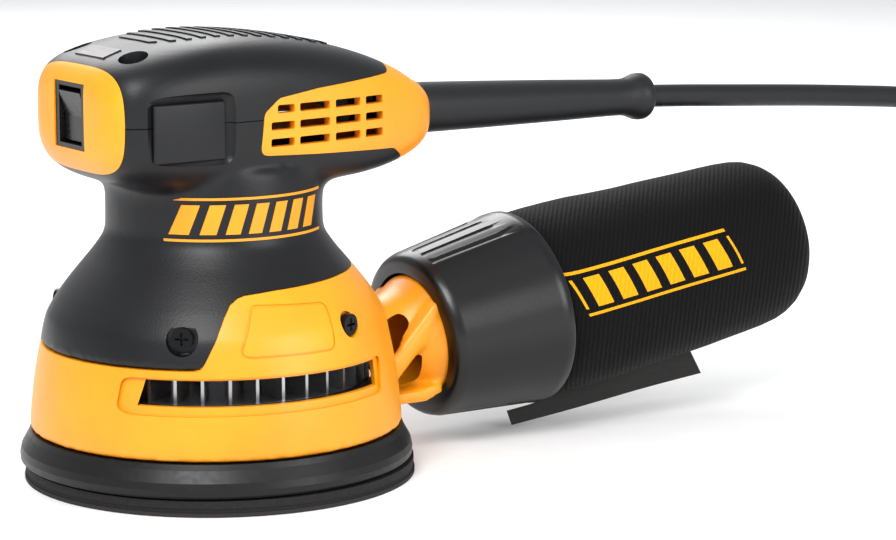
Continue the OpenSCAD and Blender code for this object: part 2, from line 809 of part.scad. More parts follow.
// Rocker, stored in its off position: the lower half stands proud.
module rocker() color("#35373b") translate(rocker_pivot) union() {
    rotate([0, -rocker_swing / 2, 0]) rotate([90, 0, 0])
        linear_extrude(rocker_w, center = true) polygon([
            [-3.2, -rocker_h / 2 + 0.5], [-2.2, 0], [-3.2, rocker_h / 2 - 0.5],
            [-1.2, rocker_h / 2 - 0.3], [1.6, 2], [1.6, -2], [-1.2, -rocker_h / 2 + 0.3]
        ]);
    rotate([90, 0, 0]) cylinder(r = 1.5, h = rocker_w + 3.6, center = true, $fn = 32);
}

// ---------- wiring, clamp and strain relief ----------

relief_end = cord_route[0];
relief_root = [handle_rear, 0, relief_end.z + 2.7];
relief_pitch = atan2(relief_root.z - relief_end.z, relief_end.x - relief_root.x);

// Z' runs from the handle's end along the strain relief.
module relief_axis() {
    translate(relief_root) rotate([0, 90 + relief_pitch, 0]) children();
}

relief_run = norm(relief_end - relief_root);

module strain_relief() color(rubber) relief_axis() difference() {
    rotate_extrude() polygon([
        [0, -8], [relief_d / 2 - 2, -8], [relief_d / 2 - 2, 1.5], [relief_d / 2, 1.5],
        [cord_d / 2 + 2.3, relief_run - 10], [cord_d / 2 + 2.7, relief_run - 7],
        [cord_d / 2 + 4, relief_run - 4.5], [cord_d / 2 + 4.1, relief_run - 1.5],
        [cord_d / 2 + 3.2, relief_run], [0, relief_run]
    ]);
    translate([0, 0, -20]) cylinder(r = cord_d / 2, h = relief_run + 40, $fn = 48);
}

module cord_inner() color(rubber) relief_axis()
    translate([0, 0, -24]) cylinder(r = cord_d / 2, h = relief_run + 24, $fn = 48);

module cord_clamp() color(black) relief_axis() difference() {
    translate([-cord_d / 2 - 2.6, -9, -19]) cube([cord_d / 2 + 2.4, 18, 6]);
    translate([0, 0, -30]) cylinder(r = cord_d / 2, h = 30, $fn = 48);
    for (y = [-6.5, 6.5]) translate([-20, y, -16]) rotate([0, 90, 0])
        cylinder(r = 1.6, h = 30, $fn = 24);
}

module clamp_screws() color(steel) relief_axis()
    for (y = [-6.5, 6.5]) translate([-cord_d / 2 - 4.4, y, -16]) rotate([0, -90, 0])
        screw(2.6, 1.5, 10, 1.8);

module wire(points, r) {
    for (i = [0:len(points) - 2]) hull() {
        translate(points[i]) sphere(r, $fn = 12);
        translate(points[i + 1]) sphere(r, $fn = 12);
    }
}

module lead_wires() both_sides() color("#5a7fb0") wire([
    [handle_rear - 25.5, 1.8, relief_root.z + 0.6], [handle_rear - 36, 12, 121],
    [24, 19, 125], [0, 20.5, 126], [-12, 19, 125], [-18, 9, 124.6],
    [switch_x + 32.9, 5, switch_z + 5]
], 1.1);

// ---------- screws ----------

module handle_screws() color(steel) {
    both_sides() translate([front_screw.x, front_screw.y, palm_z - 11])
        screw(3.6, 1.75, palm_z - 11 - grip_z - 12);
    both_sides() translate([rear_screw.x, rear_screw.y, 119.2])
        screw(3.6, 1.75, 18);
}

module shroud_screws() color(steel) radial(shroud_screw_az, screw_z)
    translate([0, 0, shoulder_r - 0.6]) screw(3.4, 1.55, 8);

module bell_screws() color(steel) radial(bell_screw_az, screw_z)
    translate([0, 0, shoulder_r]) screw(3.4, 1.55, 8);

// ---------- dust bag ----------

collar_back = collar_front + collar_l;

module lock_collar() color(black) at_port() difference() {
    rotate_extrude() polygon([
        [flange_r + 0.6, collar_front], [bag_r - 7.4, collar_front],
        [bag_r - 4.6, collar_front + 3], [bag_r + 0.4, collar_back - 3],
        [bag_r + 0.4, collar_back], [bag_r - 2.4, collar_back],
        [bag_r - 3.2, collar_front + 26], [neck_out + running, collar_front + 24.4],
        [neck_out + running, 6.4], [flange_r + lug_h + 0.8, 6.4],
        [flange_r + lug_h + 0.8, 0], [flange_r + 0.6, 0]
    ]);
    for (a = [76, 256]) rotate([0, 0, a]) translate([0, 0, collar_front - 1])
        rotate_extrude(angle = 28) square([flange_r + lug_h + 0.8, 3.8 - collar_front]);
    for (a = [180, 0]) rotate([0, 0, a]) for (k = [-2:2]) rotate([0, 0, k * 11])
        translate([bag_r + 2.6, 0, collar_front + 21]) rotate([0, -5, 0])
            cylinder(r = 2.4, h = 24, center = true, $fn = 24);
}

drum_r = flange_r + 6;                   // the cloth is clamped on this drum

module bag_neck() color(black) at_port() union() {
    ring(neck_out, neck_in, 5.9, collar_front + 27);
    ring(drum_r, neck_in, collar_front + 26.1, collar_front + 27.8);
    ring(drum_r, drum_r - 2.4, collar_front + 27, collar_back - 4);
}

module neck_seal() color("#44464a") at_port()
    ring(flange_r - 0.3, neck_in, flange_back + 0.1, 5.9);

module bag_clamp_band() color(steel) at_port()
    ring(drum_r + cloth_t + 0.7, drum_r + cloth_t, 29, 34);

bag_end = collar_back + bag_l;
bag_tail_r = bag_r - 2.7;

// Half-section of the bag, drawn in by inset.
function bag_path(inset) = concat(
    [[drum_r + cloth_t - inset, 26], [drum_r + cloth_t - inset, collar_back - 1],
     [bag_r - 1.6 - inset, collar_back + 1.4], [bag_r - inset, collar_back + 5]],
    rounded([bag_r - inset, collar_back + 5], [bag_tail_r - inset, bag_end - inset],
            [0, bag_end - inset], 19)
);

module bag_cloth() color(cloth) at_port() rotate_extrude() difference() {
    polygon(concat([[0, 26]], bag_path(0), [[0, bag_end]]));
    polygon(concat([[-1, 25], [drum_r, 25]], bag_path(cloth_t), [[-1, bag_end - cloth_t]]));
}

// Woven tag sewn along the bag's underside.
module bag_label() color("#2a2622") at_port() rotate([0, 0, -8])
    rotate([90, 0, 0]) linear_extrude(1, center = true) polygon([
        [bag_r - 1.3, collar_back + 1], [bag_r + 1.4, collar_back + 1],
        [bag_r + 1.2, collar_back - 12], [bag_r + 6.4, collar_back - 11],
        [bag_r + 8.5, collar_back + 70.6], [bag_r - 1.4, collar_back + 67.6],
        [bag_r + 0.1, collar_back + 5]
    ]);

// ---------- mains lead ----------

function unit(v) = v / norm(v);
function heading(p, i) =
    unit(p[min(i + 1, len(p) - 1)] - p[max(i - 1, 0)]);

// A closed tube with its rings across the route.
module tube(route, r, sides = 8) {
    n = len(route);
    points = [
        for (i = [0:n - 1]) let (t = heading(route, i), u = unit(cross(t, [0, 0, 1])), v = cross(u, t))
            for (k = [0:sides - 1]) let (a = 360 * (k + 0.5) / sides)
                route[i] + r * (cos(a) * u + sin(a) * v)
    ];
    faces = concat(
        [[for (k = [0:sides - 1]) k]],
        [for (i = [0:n - 2], k = [0:sides - 1]) let (j = (k + 1) % sides)
            [i * sides + k, (i + 1) * sides + k, (i + 1) * sides + j, i * sides + j]],
        [[for (k = [sides - 1:-1:0]) (n - 1) * sides + k]]
    );
    polyhedron(points, faces);
}

module cord_lead() color(rubber) tube(cord_route, cord_d / 2);

module cord_coil() color(rubber) translate([coil_centre.x, coil_centre.y, 0])
    rotate_extrude() translate([coil_r, coil_h / 2]) rounded_rect(2 * cord_d, coil_h, 3);

module cord_tie() color("#3a3a3c") translate([coil_centre.x, coil_centre.y, 0])
    rotate([0, 0, tie_angle]) translate([coil_r, 4, coil_h / 2]) rotate([90, 0, 0])
        linear_extrude(8) difference() {
            square([2 * cord_d + 2.6, coil_h + 2], center = true);
            square([2 * cord_d + 0.6, coil_h + 0.1], center = true);
            translate([-40, -coil_h / 2 - 5]) square([80, 5]);
        }

plug_turn = 20;                          // direction that the blades point in
plug_at = [
    coil_centre.x + coil_r * cos(plug_turn + 90),
    coil_centre.y + coil_r * sin(plug_turn + 90), coil_h
];

module plug_body() color(rubber) translate(plug_at) rotate([0, 0, plug_turn]) union() {
    translate([-14, -10, 0]) cube([28, 20, 16]);
    translate([-34, 0, 8]) rotate([0, 90, 0]) cylinder(r1 = 5.4, r2 = 7.4, h = 22);
}

module plug_blades() color("#c9b26a") translate(plug_at) rotate([0, 0, plug_turn])
    for (y = [-6.35, 6.35]) translate([14, y - 0.75, 4.8]) cube([17, 1.5, 6.4]);

// ---------- nodes ----------

motor_housing();
top_cover();
front_cap();
vent_cap();
palm_pad();
finger_pads();
badge_plate();
shroud();
brake_skirt();
fan_baffle();
bearing_bracket();
lower_bearing();
motor_field();
field_windings();
field_screws();
brush_holders();
brush_spring_left();
brush_spring_right();
brush_left();
brush_right();
upper_bearing();
bearing_boot();
switch_body();
switch_bezel();
switch_terminals();
rocker();
lead_wires();
cord_clamp();
clamp_screws();
cord_inner();
strain_relief();
handle_screws();
shroud_screws();
bell_screws();
armature_shaft();
armature_core();
armature_windings();
commutator();
fan();
counterweight();
pad_bearing();
pad_spindle();
pad_plate();
pad_foam();
hook_layer();
sanding_disc();
pad_screws();
lock_collar();
bag_neck();
neck_seal();
bag_clamp_band();
bag_cloth();
bag_label();
cord_lead();
cord_coil();
cord_tie();
plug_body();
plug_blades();
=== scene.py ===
import math

import bpy
from mathutils import Matrix, Vector


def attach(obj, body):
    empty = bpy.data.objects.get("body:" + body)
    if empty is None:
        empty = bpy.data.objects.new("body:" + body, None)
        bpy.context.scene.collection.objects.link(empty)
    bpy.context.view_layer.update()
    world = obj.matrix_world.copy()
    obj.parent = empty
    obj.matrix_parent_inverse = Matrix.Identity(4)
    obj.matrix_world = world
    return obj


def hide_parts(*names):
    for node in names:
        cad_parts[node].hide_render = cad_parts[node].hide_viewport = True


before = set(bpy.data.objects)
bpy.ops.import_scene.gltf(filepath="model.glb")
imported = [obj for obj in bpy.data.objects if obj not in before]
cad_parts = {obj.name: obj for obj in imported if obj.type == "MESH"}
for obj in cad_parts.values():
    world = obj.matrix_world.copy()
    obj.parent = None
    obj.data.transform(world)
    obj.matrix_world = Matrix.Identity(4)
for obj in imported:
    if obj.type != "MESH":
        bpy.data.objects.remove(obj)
bpy.context.view_layer.update()
MM = 0.001

# ---------------------------------------------------------------- camera, floor and light
# A product shot: a long lens a little above the handle, a wide pale floor under the tool,
# and large soft boxes overhead, in front and behind for the edge light.
bpy.ops.object.camera_add(location=(-0.500, -0.866, 0.2411),
                          rotation=(math.radians(80.01), 0, math.radians(-34.26)))
camera = bpy.context.object
camera.data.lens = 127.7
bpy.context.scene.camera = camera


def colour(code):
    """An sRGB hex colour as the linear one that a shader takes."""
    parts = [int(code[i:i + 2], 16) / 255 for i in (0, 2, 4)]
    return tuple(c / 12.92 if c <= 0.04045 else ((c + 0.055) / 1.055) ** 2.4 for c in parts) + (1.0,)


def add_node(tree, kind, values=None, **settings):
    """Adds one node with its settings; values holds each input's number, or the output it takes."""
    made = tree.nodes.new(kind)
    for name, value in settings.items():
        setattr(made, name, value)
    for name, value in (values or {}).items():
        if isinstance(value, bpy.types.NodeSocket):
            tree.links.new(value, made.inputs[name])
        else:
            made.inputs[name].default_value = value
    return made


def new_material(name):
    """An empty material with its tree and its Object coordinates."""
    made = bpy.data.materials.new(name)
    made.use_nodes = True
    made.node_tree.nodes.clear()
    return made, made.node_tree, add_node(made.node_tree, "ShaderNodeTexCoord").outputs["Object"]


def finish_material(made, tree, shader):
    output = add_node(tree, "ShaderNodeOutputMaterial", {"Surface": shader.outputs[0]})
    output.target = "ALL"
    return made


def paint(piece, material):
    piece.data.materials.clear()
    piece.data.materials.append(material)


# Matt studio paper: near white, without gloss.
paper, tree, place = new_material("studio_paper")
fibre = add_node(tree, "ShaderNodeTexNoise", {"Vector": place, "Scale": 60.0, "Detail": 3.0})
tone = add_node(tree, "ShaderNodeValToRGB", {"Fac": fibre.outputs["Fac"]})
tone.color_ramp.elements[0].color = colour("f4f4f4")
tone.color_ramp.elements[1].color = colour("fbfbfb")
finish_material(paper, tree, add_node(tree, "ShaderNodeBsdfPrincipled", {
    "Base Color": tone.outputs["Color"], "Roughness": 0.9, "Specular IOR Level": 0.2}))

bpy.ops.mesh.primitive_plane_add(size=40, location=(0, 0, 0))
floor = bpy.context.object
floor.name = "studio_floor"
paint(floor, paper)

world = bpy.data.worlds.new("studio")
bpy.context.scene.world = world
world.use_nodes = True
world.node_tree.nodes["Background"].inputs["Color"].default_value = colour("f7f8fa")
world.node_tree.nodes["Background"].inputs["Strength"].default_value = 0.62

bpy.context.scene.view_settings.view_transform = "Standard"

for name, spot, aim, size, power in [
    ("key_box", (-0.75, -0.75, 1.15), (0.02, 0, 0.08), 0.7, 21),
    ("front_box", (0.55, -1.35, 0.55), (0.05, 0, 0.06), 0.7, 9),
    ("back_box", (0.35, 1.1, 1.0), (0.02, 0, 0.1), 0.9, 16),
]:
    bpy.ops.object.light_add(type="AREA", location=spot)
    box = bpy.context.object
    box.name = name
    box.data.size = size
    box.data.energy = power
    box.rotation_euler = (Vector(aim) - Vector(spot)).to_track_quat("-Z", "Y").to_euler()

# ---------------------------------------------------------------- mains lead
# Two-core rubber-sheathed lead, 7.8 mm thick and extruded. It leaves the strain relief, droops to
# the bench, and the rest is wound in a coil behind the sander, held by a hook-and-loop tie.
LEAD_D = 7.8
COIL_AT = Vector((435.5, -58, 0))
COIL_R = 44.0
ROUTE = [
    (172, 0, 109.6), (190, 0, 108.6), (210, 0, 107.3), (230, 0, 106),
    (250, 0, 104.6), (270, 0, 103), (290, 0, 101.2), (306, 0, 98.4),
    (321, 0, 93.6), (335, 0, 86.4), (347, 0, 76.8), (357, -0.2, 65.4),
    (365.5, -0.6, 53), (374, -1.2, 40.8), (383.5, -2.2, 29.4),
    (394.5, -3.6, 19.4), (407, -5.6, 11.4), (420.5, -8.4, 6.4),
    (434.5, -12, 4.4), (448, -16, 4),
]
PLUG_TURN = math.radians(20)
PLUG_AT = COIL_AT + Vector((COIL_R * math.cos(PLUG_TURN + math.pi / 2),
                            COIL_R * math.sin(PLUG_TURN + math.pi / 2),
                            LEAD_D * 3.7))


def ease(t):
    t = min(max(t, 0.0), 1.0)
    return t * t * (3 - 2 * t)


def smooth_line(points, gap):
    """A curve through the points with a sample about every gap."""
    points = [Vector(p) for p in points]
    points = [2 * points[0] - points[1], *points, 2 * points[-1] - points[-2]]
    line = []
    for a, b, c, d in zip(points, points[1:], points[2:], points[3:]):
        steps = max(1, round((c - b).length / gap))
        for k in range(steps):
            t = k / steps
            line.append(0.5 * (2 * b + (c - a) * t + (2 * a - 5 * b + 4 * c - d) * t * t
                               + (3 * b - a - 3 * c + d) * t ** 3))
    return [*line, points[-2]]


# Eight places in the coil's section, as (side, layer), laid to and fro a diameter apart. The coil
# runs clockwise in steps of 15 degrees, and slides to its next place over the last of each turn.
STEPS_A_TURN, STEPS, LAYER_RISE = 24, 180, 0.9 * LEAD_D
turns = [(0.5, 0), (-0.5, 0), (-0.5, 1), (0.5, 1), (0.5, 2), (-0.5, 2), (-0.5, 3), (0.5, 3)]
wound = list(ROUTE)
start = math.radians(73.5)
for step in range(1, STEPS + 1):
    turn, share = divmod(step / STEPS_A_TURN, 1)
    here, after = turns[int(turn)], turns[min(int(turn) + 1, 7)]
    slide = ease((share - 0.72) / 0.28)
    side = here[0] + (after[0] - here[0]) * slide
    layer = here[1] + (after[1] - here[1]) * slide
    side *= ease(step / 10) if step < 10 else 1
    angle = start - 2 * math.pi * step / STEPS_A_TURN
    reach = COIL_R + side * LEAD_D
    wound.append((COIL_AT.x + reach * math.cos(angle), COIL_AT.y + reach * math.sin(angle),
                  LEAD_D / 2 + layer * LAYER_RISE))

# The tail lies on the coil, swings round in an arc and enters the back of the plug.
TAIL_BEND, PLUG_BACK, PLUG_MIDDLE = 32, 31, 8
tail_way = Vector((math.cos(PLUG_TURN), math.sin(PLUG_TURN), 0))
tail = PLUG_AT + Vector((0, 0, PLUG_MIDDLE)) - PLUG_BACK * tail_way
bend_at = tail + TAIL_BEND * Vector((tail_way.y, -tail_way.x, 0))
wound += [(410.5, -100.1, 25.6), (399.5, -95.4, 26.3), (389.4, -89.4, 27), (380.7, -81.8, 27.6)]
for angle, z in ((208, 28.2), (184, 31), (160, 33.8), (136, 36), (118, 36.8)):
    angle = math.radians(angle)
    wound.append((bend_at.x + TAIL_BEND * math.cos(angle), bend_at.y + TAIL_BEND * math.sin(angle), z))
lead_line = smooth_line([*wound, tail], 3)


def draw_cord(name, line, radius):
    """A round cord as a curve of one open spline, on the points of its line in millimetres."""
    data = bpy.data.curves.new(name, "CURVE")
    data.dimensions = "3D"
    data.bevel_depth = radius * MM
    data.bevel_resolution = 5
    data.use_fill_caps = True
    spline = data.splines.new("POLY")
    spline.points.add(len(line) - 1)
    for point, at in zip(spline.points, line):
        point.co = (*(Vector(at) * MM), 1)
    spline.use_smooth = True
    made = bpy.data.objects.new(name, data)
    bpy.context.scene.collection.objects.link(made)
    return made


# Rubber sheath: dark grey and satin, with the fine drag lines and haze that extrusion leaves.
sheath, tree, place = new_material("cord_rubber")
haze = add_node(tree, "ShaderNodeTexNoise", {
    "Vector": place, "Scale": 350.0, "Detail": 5.0, "Roughness": 0.6})
tone = add_node(tree, "ShaderNodeValToRGB", {"Fac": haze.outputs["Fac"]})
tone.color_ramp.elements[0].color = colour("0f1012")
tone.color_ramp.elements[1].color = colour("191a1d")
gloss = add_node(tree, "ShaderNodeMapRange", {
    "Value": haze.outputs["Fac"], "From Min": 0.3, "From Max": 0.7, "To Min": 0.42, "To Max": 0.55})
drag = add_node(tree, "ShaderNodeBump", {"Height": haze.outputs["Fac"], "Strength": 0.25, "Distance": 0.0002})
finish_material(sheath, tree, add_node(tree, "ShaderNodeBsdfPrincipled", {
    "Base Color": tone.outputs["Color"], "Roughness": gloss.outputs["Result"],
    "Normal": drag.outputs["Normal"], "IOR": 1.5, "Specular IOR Level": 0.35}))

lead = draw_cord("mains_lead", lead_line, LEAD_D / 2)
lead.data.materials.append(sheath)
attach(lead, "housing")
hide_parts("cord_lead", "cord_coil")
# ---------------------------------------------------------------- plug, tie and strain relief
# The plug is moulded on the lead's end with grip ribs round its body, and the tie is a woven
# hook-and-loop strap. The strain relief is a long tapered rubber boot with a bell at its end.
def loft(name, rings, sides=96, power=1.0, capped=True):
    """Grows a skin up Z from one ring of edges; each ring is (z, half x, half y, centre x) in mm."""
    bpy.ops.object.select_all(action="DESELECT")
    bpy.ops.mesh.primitive_circle_add(vertices=sides, radius=MM)
    made = bpy.context.object
    made.name = name
    for v in made.data.vertices:
        x, y = v.co.x / MM, v.co.y / MM
        v.co.x = math.copysign(abs(x) ** power, x) * MM
        v.co.y = math.copysign(abs(y) ** power, y) * MM
    bpy.ops.object.mode_set(mode="EDIT")
    bpy.ops.mesh.select_all(action="SELECT")
    z, half_x, half_y, middle = rings[0]
    bpy.ops.transform.resize(value=(half_x, half_y, 1))
    bpy.ops.transform.translate(value=(middle * MM, 0, z * MM))
    for (z0, x0, y0, m0), (z1, x1, y1, m1) in zip(rings, rings[1:]):
        bpy.ops.mesh.extrude_region_move(
            TRANSFORM_OT_translate={"value": ((m1 - m0) * MM, 0, (z1 - z0) * MM)})
        bpy.ops.transform.resize(value=(x1 / x0, y1 / y0, 1), center_override=(m1 * MM, 0, z1 * MM))
    bpy.ops.mesh.select_all(action="SELECT")
    bpy.ops.mesh.remove_doubles(threshold=1e-6)
    if capped:
        bpy.ops.mesh.fill_holes(sides=0)
    bpy.ops.mesh.select_all(action="SELECT")
    bpy.ops.mesh.normals_make_consistent(inside=False)
    bpy.ops.object.mode_set(mode="OBJECT")
    return made


def lathe(name, profile, sides=96):
    """Turns a profile of (z, radius) round Z."""
    return loft(name, [(z, r, r, 0) for z, r in profile], sides)


def settle(piece, matrix=None):
    """Bakes the object's place, and a matrix on top of it, into its mesh."""
    piece.matrix_basis = (matrix or Matrix()) @ piece.matrix_basis
    bpy.ops.object.select_all(action="DESELECT")
    piece.select_set(True)
    bpy.context.view_layer.objects.active = piece
    bpy.ops.object.transform_apply(location=True, rotation=True, scale=True)
    return piece


def block(low, high, soft=0, turn=None):
    """A cube between two corners in mm, its edges rounded by soft."""
    bpy.ops.object.select_all(action="DESELECT")
    bpy.ops.mesh.primitive_cube_add(size=1)
    made = bpy.context.object
    made.scale = [(b - a) * MM for a, b in zip(low, high)]
    settle(made)
    if soft:
        bpy.ops.object.mode_set(mode="EDIT")
        bpy.ops.mesh.select_all(action="SELECT")
        bpy.ops.mesh.bevel(offset=soft * MM, segments=4, affect="EDGES")
        bpy.ops.object.mode_set(mode="OBJECT")
    if turn:
        settle(made, turn)
    settle(made, Matrix.Translation([(a + b) / 2 * MM for a, b in zip(low, high)]))
    return made


def shape(piece, kind, **settings):
    """Adds one modifier and applies it."""
    added = piece.modifiers.new(kind.lower(), kind)
    for name, value in settings.items():
        setattr(added, name, value)
    bpy.ops.object.select_all(action="DESELECT")
    piece.select_set(True)
    bpy.context.view_layer.objects.active = piece
    bpy.ops.object.modifier_apply(modifier=added.name)
    return piece


def combine(piece, tools, how="DIFFERENCE"):
    """Cuts, adds or keeps the overlap with each tool, and throws the tool away."""
    for tool in tools:
        shape(piece, "BOOLEAN", object=tool, operation=how, solver="EXACT")
        bpy.data.objects.remove(tool)
    return piece


def join(pieces):
    bpy.ops.object.select_all(action="DESELECT")
    for each in pieces:
        each.select_set(True)
    bpy.context.view_layer.objects.active = pieces[0]
    bpy.ops.object.join()
    return pieces[0]


def twin(piece, name="twin"):
    """A copy with its own mesh."""
    made = piece.copy()
    made.data = piece.data.copy()
    made.name = name
    bpy.context.scene.collection.objects.link(made)
    return made


def smooth(piece, angle=35):
    bpy.ops.object.select_all(action="DESELECT")
    piece.select_set(True)
    bpy.context.view_layer.objects.active = piece
    bpy.ops.object.shade_smooth_by_angle(angle=math.radians(angle))
    return piece


def finish(piece, name, material, body, nodes=()):
    """Names a made piece, gives it its material, and hangs it on its body."""
    piece.name = name
    paint(piece, material)
    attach(piece, body)
    if nodes:
        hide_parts(*nodes)
    return piece


plug = block((-14, -10, 0), (14, 10, 16), 3.2)
for k in range(4):
    x0, x1 = -9 + 4.6 * k, -7.6 + 4.6 * k
    combine(plug, [block((x0, -12, -2), (x1, -9.2, 18)), block((x0, 9.2, -2), (x1, 12, 18))])
neck = settle(lathe("neck", [
    (0, 7.6), (3, 7.2), (4, 6.2), (6, 6.2), (7, 6.9), (10, 6.7), (11, 5.8), (13, 5.8), (14, 6.4),
    (17, 6.2), (18, 5.3), (22, 5.2)], 48),
              Matrix.Translation((-12 * MM, 0, 8 * MM)) @ Matrix.Rotation(-math.pi / 2, 4, "Y"))
plug = join([plug, neck])
settle(plug, Matrix.Translation(PLUG_AT * MM) @ Matrix.Rotation(PLUG_TURN, 4, "Z"))
finish(smooth(plug), "plug_moulding", sheath, "housing", ["plug_body"])

relief_from, relief_to = Vector((73, 0, 112.3)), Vector(ROUTE[0])
relief_run = (relief_to - relief_from).length
relief_turn = (relief_to - relief_from).to_track_quat("Z", "Y").to_matrix().to_4x4()
along_relief = Matrix.Translation(relief_from * MM) @ relief_turn
relief = lathe("relief", [
    (-7.5, 4), (-7.5, 6.4), (1.6, 6.4), (1.7, 8.0), (2.4, 8.5), (5, 8.45), (30, 7.9), (60, 7.1),
    *((relief_run - back, r) for back, r in [
        (16, 6.35), (11, 6.3), (8.4, 6.6), (6.2, 7.4), (4.6, 7.95), (3, 8.1), (1.6, 8.0), (0.6, 7.5),
        (0, 6.6), (0, 4.0), (1.5, 3.92)])], 64)
settle(relief, along_relief)
finish(smooth(relief, 50), "strain_relief_boot", sheath, "housing", ["strain_relief"])

# Woven nylon strap: matt, with threads half a millimetre apart.
strap, tree, place = new_material("strap_nylon")
threads = add_node(tree, "ShaderNodeTexWave", {
    "Vector": place, "Scale": 320.0, "Distortion": 0.4}, bands_direction="Z")
weft = add_node(tree, "ShaderNodeBump", {
    "Height": threads.outputs["Fac"], "Strength": 0.4, "Distance": 0.0003})
tone = add_node(tree, "ShaderNodeMixRGB", {
    "Fac": threads.outputs["Fac"], "Color1": colour("1d1e21"), "Color2": colour("34363b")})
finish_material(strap, tree, add_node(tree, "ShaderNodeBsdfPrincipled", {
    "Base Color": tone.outputs["Color"], "Roughness": 0.85, "Normal": weft.outputs["Normal"],
    "Sheen Weight": 0.3}))
paint(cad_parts["cord_tie"], strap)

# ---------------------------------------------------------------- handle and motor housing
# The handle and the bell under it are moulded in glass-filled nylon under a soft black overmould.
# They split at a seam, with a yellow cap at the front and a louvred yellow cap at the rear.
HANDLE = [  # share of the length, share of the half-width, rise above the underside, drop from the top
    (0.000, 0.52, 15.6, 14.8), (0.003, 0.60, 14.2, 13.4), (0.012, 0.72, 11.6, 11.3),
    (0.027, 0.82, 9.0, 9.0), (0.055, 0.92, 6.4, 6.6), (0.107, 0.98, 3.8, 4.4), (0.188, 1.00, 1.6, 2.2),
    (0.333, 1.00, 0.0, 0.2), (0.512, 0.97, 0.0, 1.6), (0.672, 0.90, 0.4, 5.0), (0.800, 0.81, 1.8, 9.6),
    (0.895, 0.72, 4.6, 14.6), (0.960, 0.62, 8.2, 19.4), (0.990, 0.50, 12.0, 22.8),
    (1.000, 0.38, 15.0, 25.0),
]
GRIP_Z, PALM_Z, SEAM_Z = 92.5, 143.0, 117.0
FRONT, REAR, HALF_WIDTH = -51.0, 73.0, 33.5
WALL, SEAM_GAP, REMESH = 3.2, 0.15, 1.15 * MM
# Outside profiles of the bell and of the shroud below it, as (z, radius).
BELL = [(44, 55.8), (49.4, 54.7), (53, 53.7), (56.3, 51.8), (60.4, 49.1), (64.4, 46.0), (68.4, 42.7),
        (72.4, 39.3), (75.6, 36.9), (78, 35.3), (80.4, 34.6), (84, 34.5), (92, 34.5)]
SKIRT = [(16.2, 59.6), (24, 58.9), (31.9, 58.0), (38, 57.0)]


def handle_skin(name, inset, sides=48):
    """The handle's whole skin, drawn in by inset: squared ovals standing across its length."""
    rings = []
    for share, width, rise, drop in HANDLE:
        low, high = GRIP_Z + rise + inset, PALM_Z - drop - inset
        x = FRONT + inset + (REAR - FRONT - 2 * inset) * share
        rings.append((x, (high - low) / 2, HALF_WIDTH * width - inset, -(low + high) / 2))
    made = loft(name, rings, sides, 0.56)
    return settle(made, Matrix.Rotation(math.pi / 2, 4, "Y"))


def prism(outline, low, high):
    """A slab across Y from an outline of (x, z) in mm."""
    bpy.ops.object.select_all(action="DESELECT")
    bpy.ops.mesh.primitive_circle_add(vertices=len(outline), radius=MM, fill_type="NGON")
    made = bpy.context.object
    for v, (x, z) in zip(made.data.vertices, outline):
        v.co = (x * MM, low * MM, z * MM)
    bpy.ops.object.mode_set(mode="EDIT")
    bpy.ops.mesh.select_all(action="SELECT")
    bpy.ops.mesh.extrude_region_move(TRANSFORM_OT_translate={"value": (0, (high - low) * MM, 0)})
    bpy.ops.mesh.select_all(action="SELECT")
    bpy.ops.mesh.normals_make_consistent(inside=False)
    bpy.ops.object.mode_set(mode="OBJECT")
    return made


def rounded(points, radius, steps=5):
    """An outline with each corner rounded; radius is one number, or one for each corner."""
    line = []
    for k, here in enumerate(points):
        here = Vector((*here, 0))
        back = Vector((*points[k - 1], 0)) - here
        on = Vector((*points[(k + 1) % len(points)], 0)) - here
        r = radius[k] if isinstance(radius, (list, tuple)) else radius
        if not r:
            line.append((here.x, here.y))
            continue
        half = back.angle(on) / 2
        reach = r / math.tan(half)
        a, b = here + back.normalized() * reach, here + on.normalized() * reach
        for j in range(steps + 1):
            t = j / steps
            p = (1 - t) ** 2 * a + 2 * t * (1 - t) * here + t * t * b
            line.append((p.x, p.y))
    return line


def peg(x, y, z0, z1, r, sides=40):
    """A round tool along Z."""
    return settle(lathe("peg", [(z0, r), (z1, r)], sides), Matrix.Translation((x * MM, y * MM, 0)))


def aimed(azimuth, z, near, far, r, sides=40):
    """A round tool pointing outwards from the motor's axis."""
    outwards = Matrix.Rotation(math.radians(azimuth), 4, "Z") @ Matrix.Rotation(math.pi / 2, 4, "Y")
    return settle(lathe("aimed", [(near, r), (far, r)], sides), Matrix.Translation((0, 0, z * MM)) @ outwards)


# The handle and the bell become one skin, blended most where the neck meets the handle.
form = handle_skin("form", 0.0)
shape(form, "SUBSURF", levels=2, render_levels=2)
combine(form, [lathe("core", BELL + [(101, 33.5)], 96)], "UNION")
shape(form, "REMESH", mode="VOXEL", voxel_size=REMESH)
near_neck = form.vertex_groups.new(name="near_neck")
for v in form.data.vertices:
    reach = math.hypot(v.co.x, v.co.y) / MM
    z = v.co.z / MM
    weight = max(0.0, 1 - abs(z - 93) / 11) * max(0.0, min(1.0, (46 - reach) / 6))
    near_neck.add([v.index], max(weight, 0.05), "REPLACE")
shape(form, "SMOOTH", factor=0.5, iterations=60, vertex_group="near_neck")
shape(form, "SMOOTH", factor=0.4, iterations=4)
hollow = handle_skin("hollow", 3.4, 32)
bore = lathe("bore", [(z - 0.5, r - WALL) for z, r in BELL] + [(99, 28)], 64)
hollow = combine(hollow, [bore], "UNION")

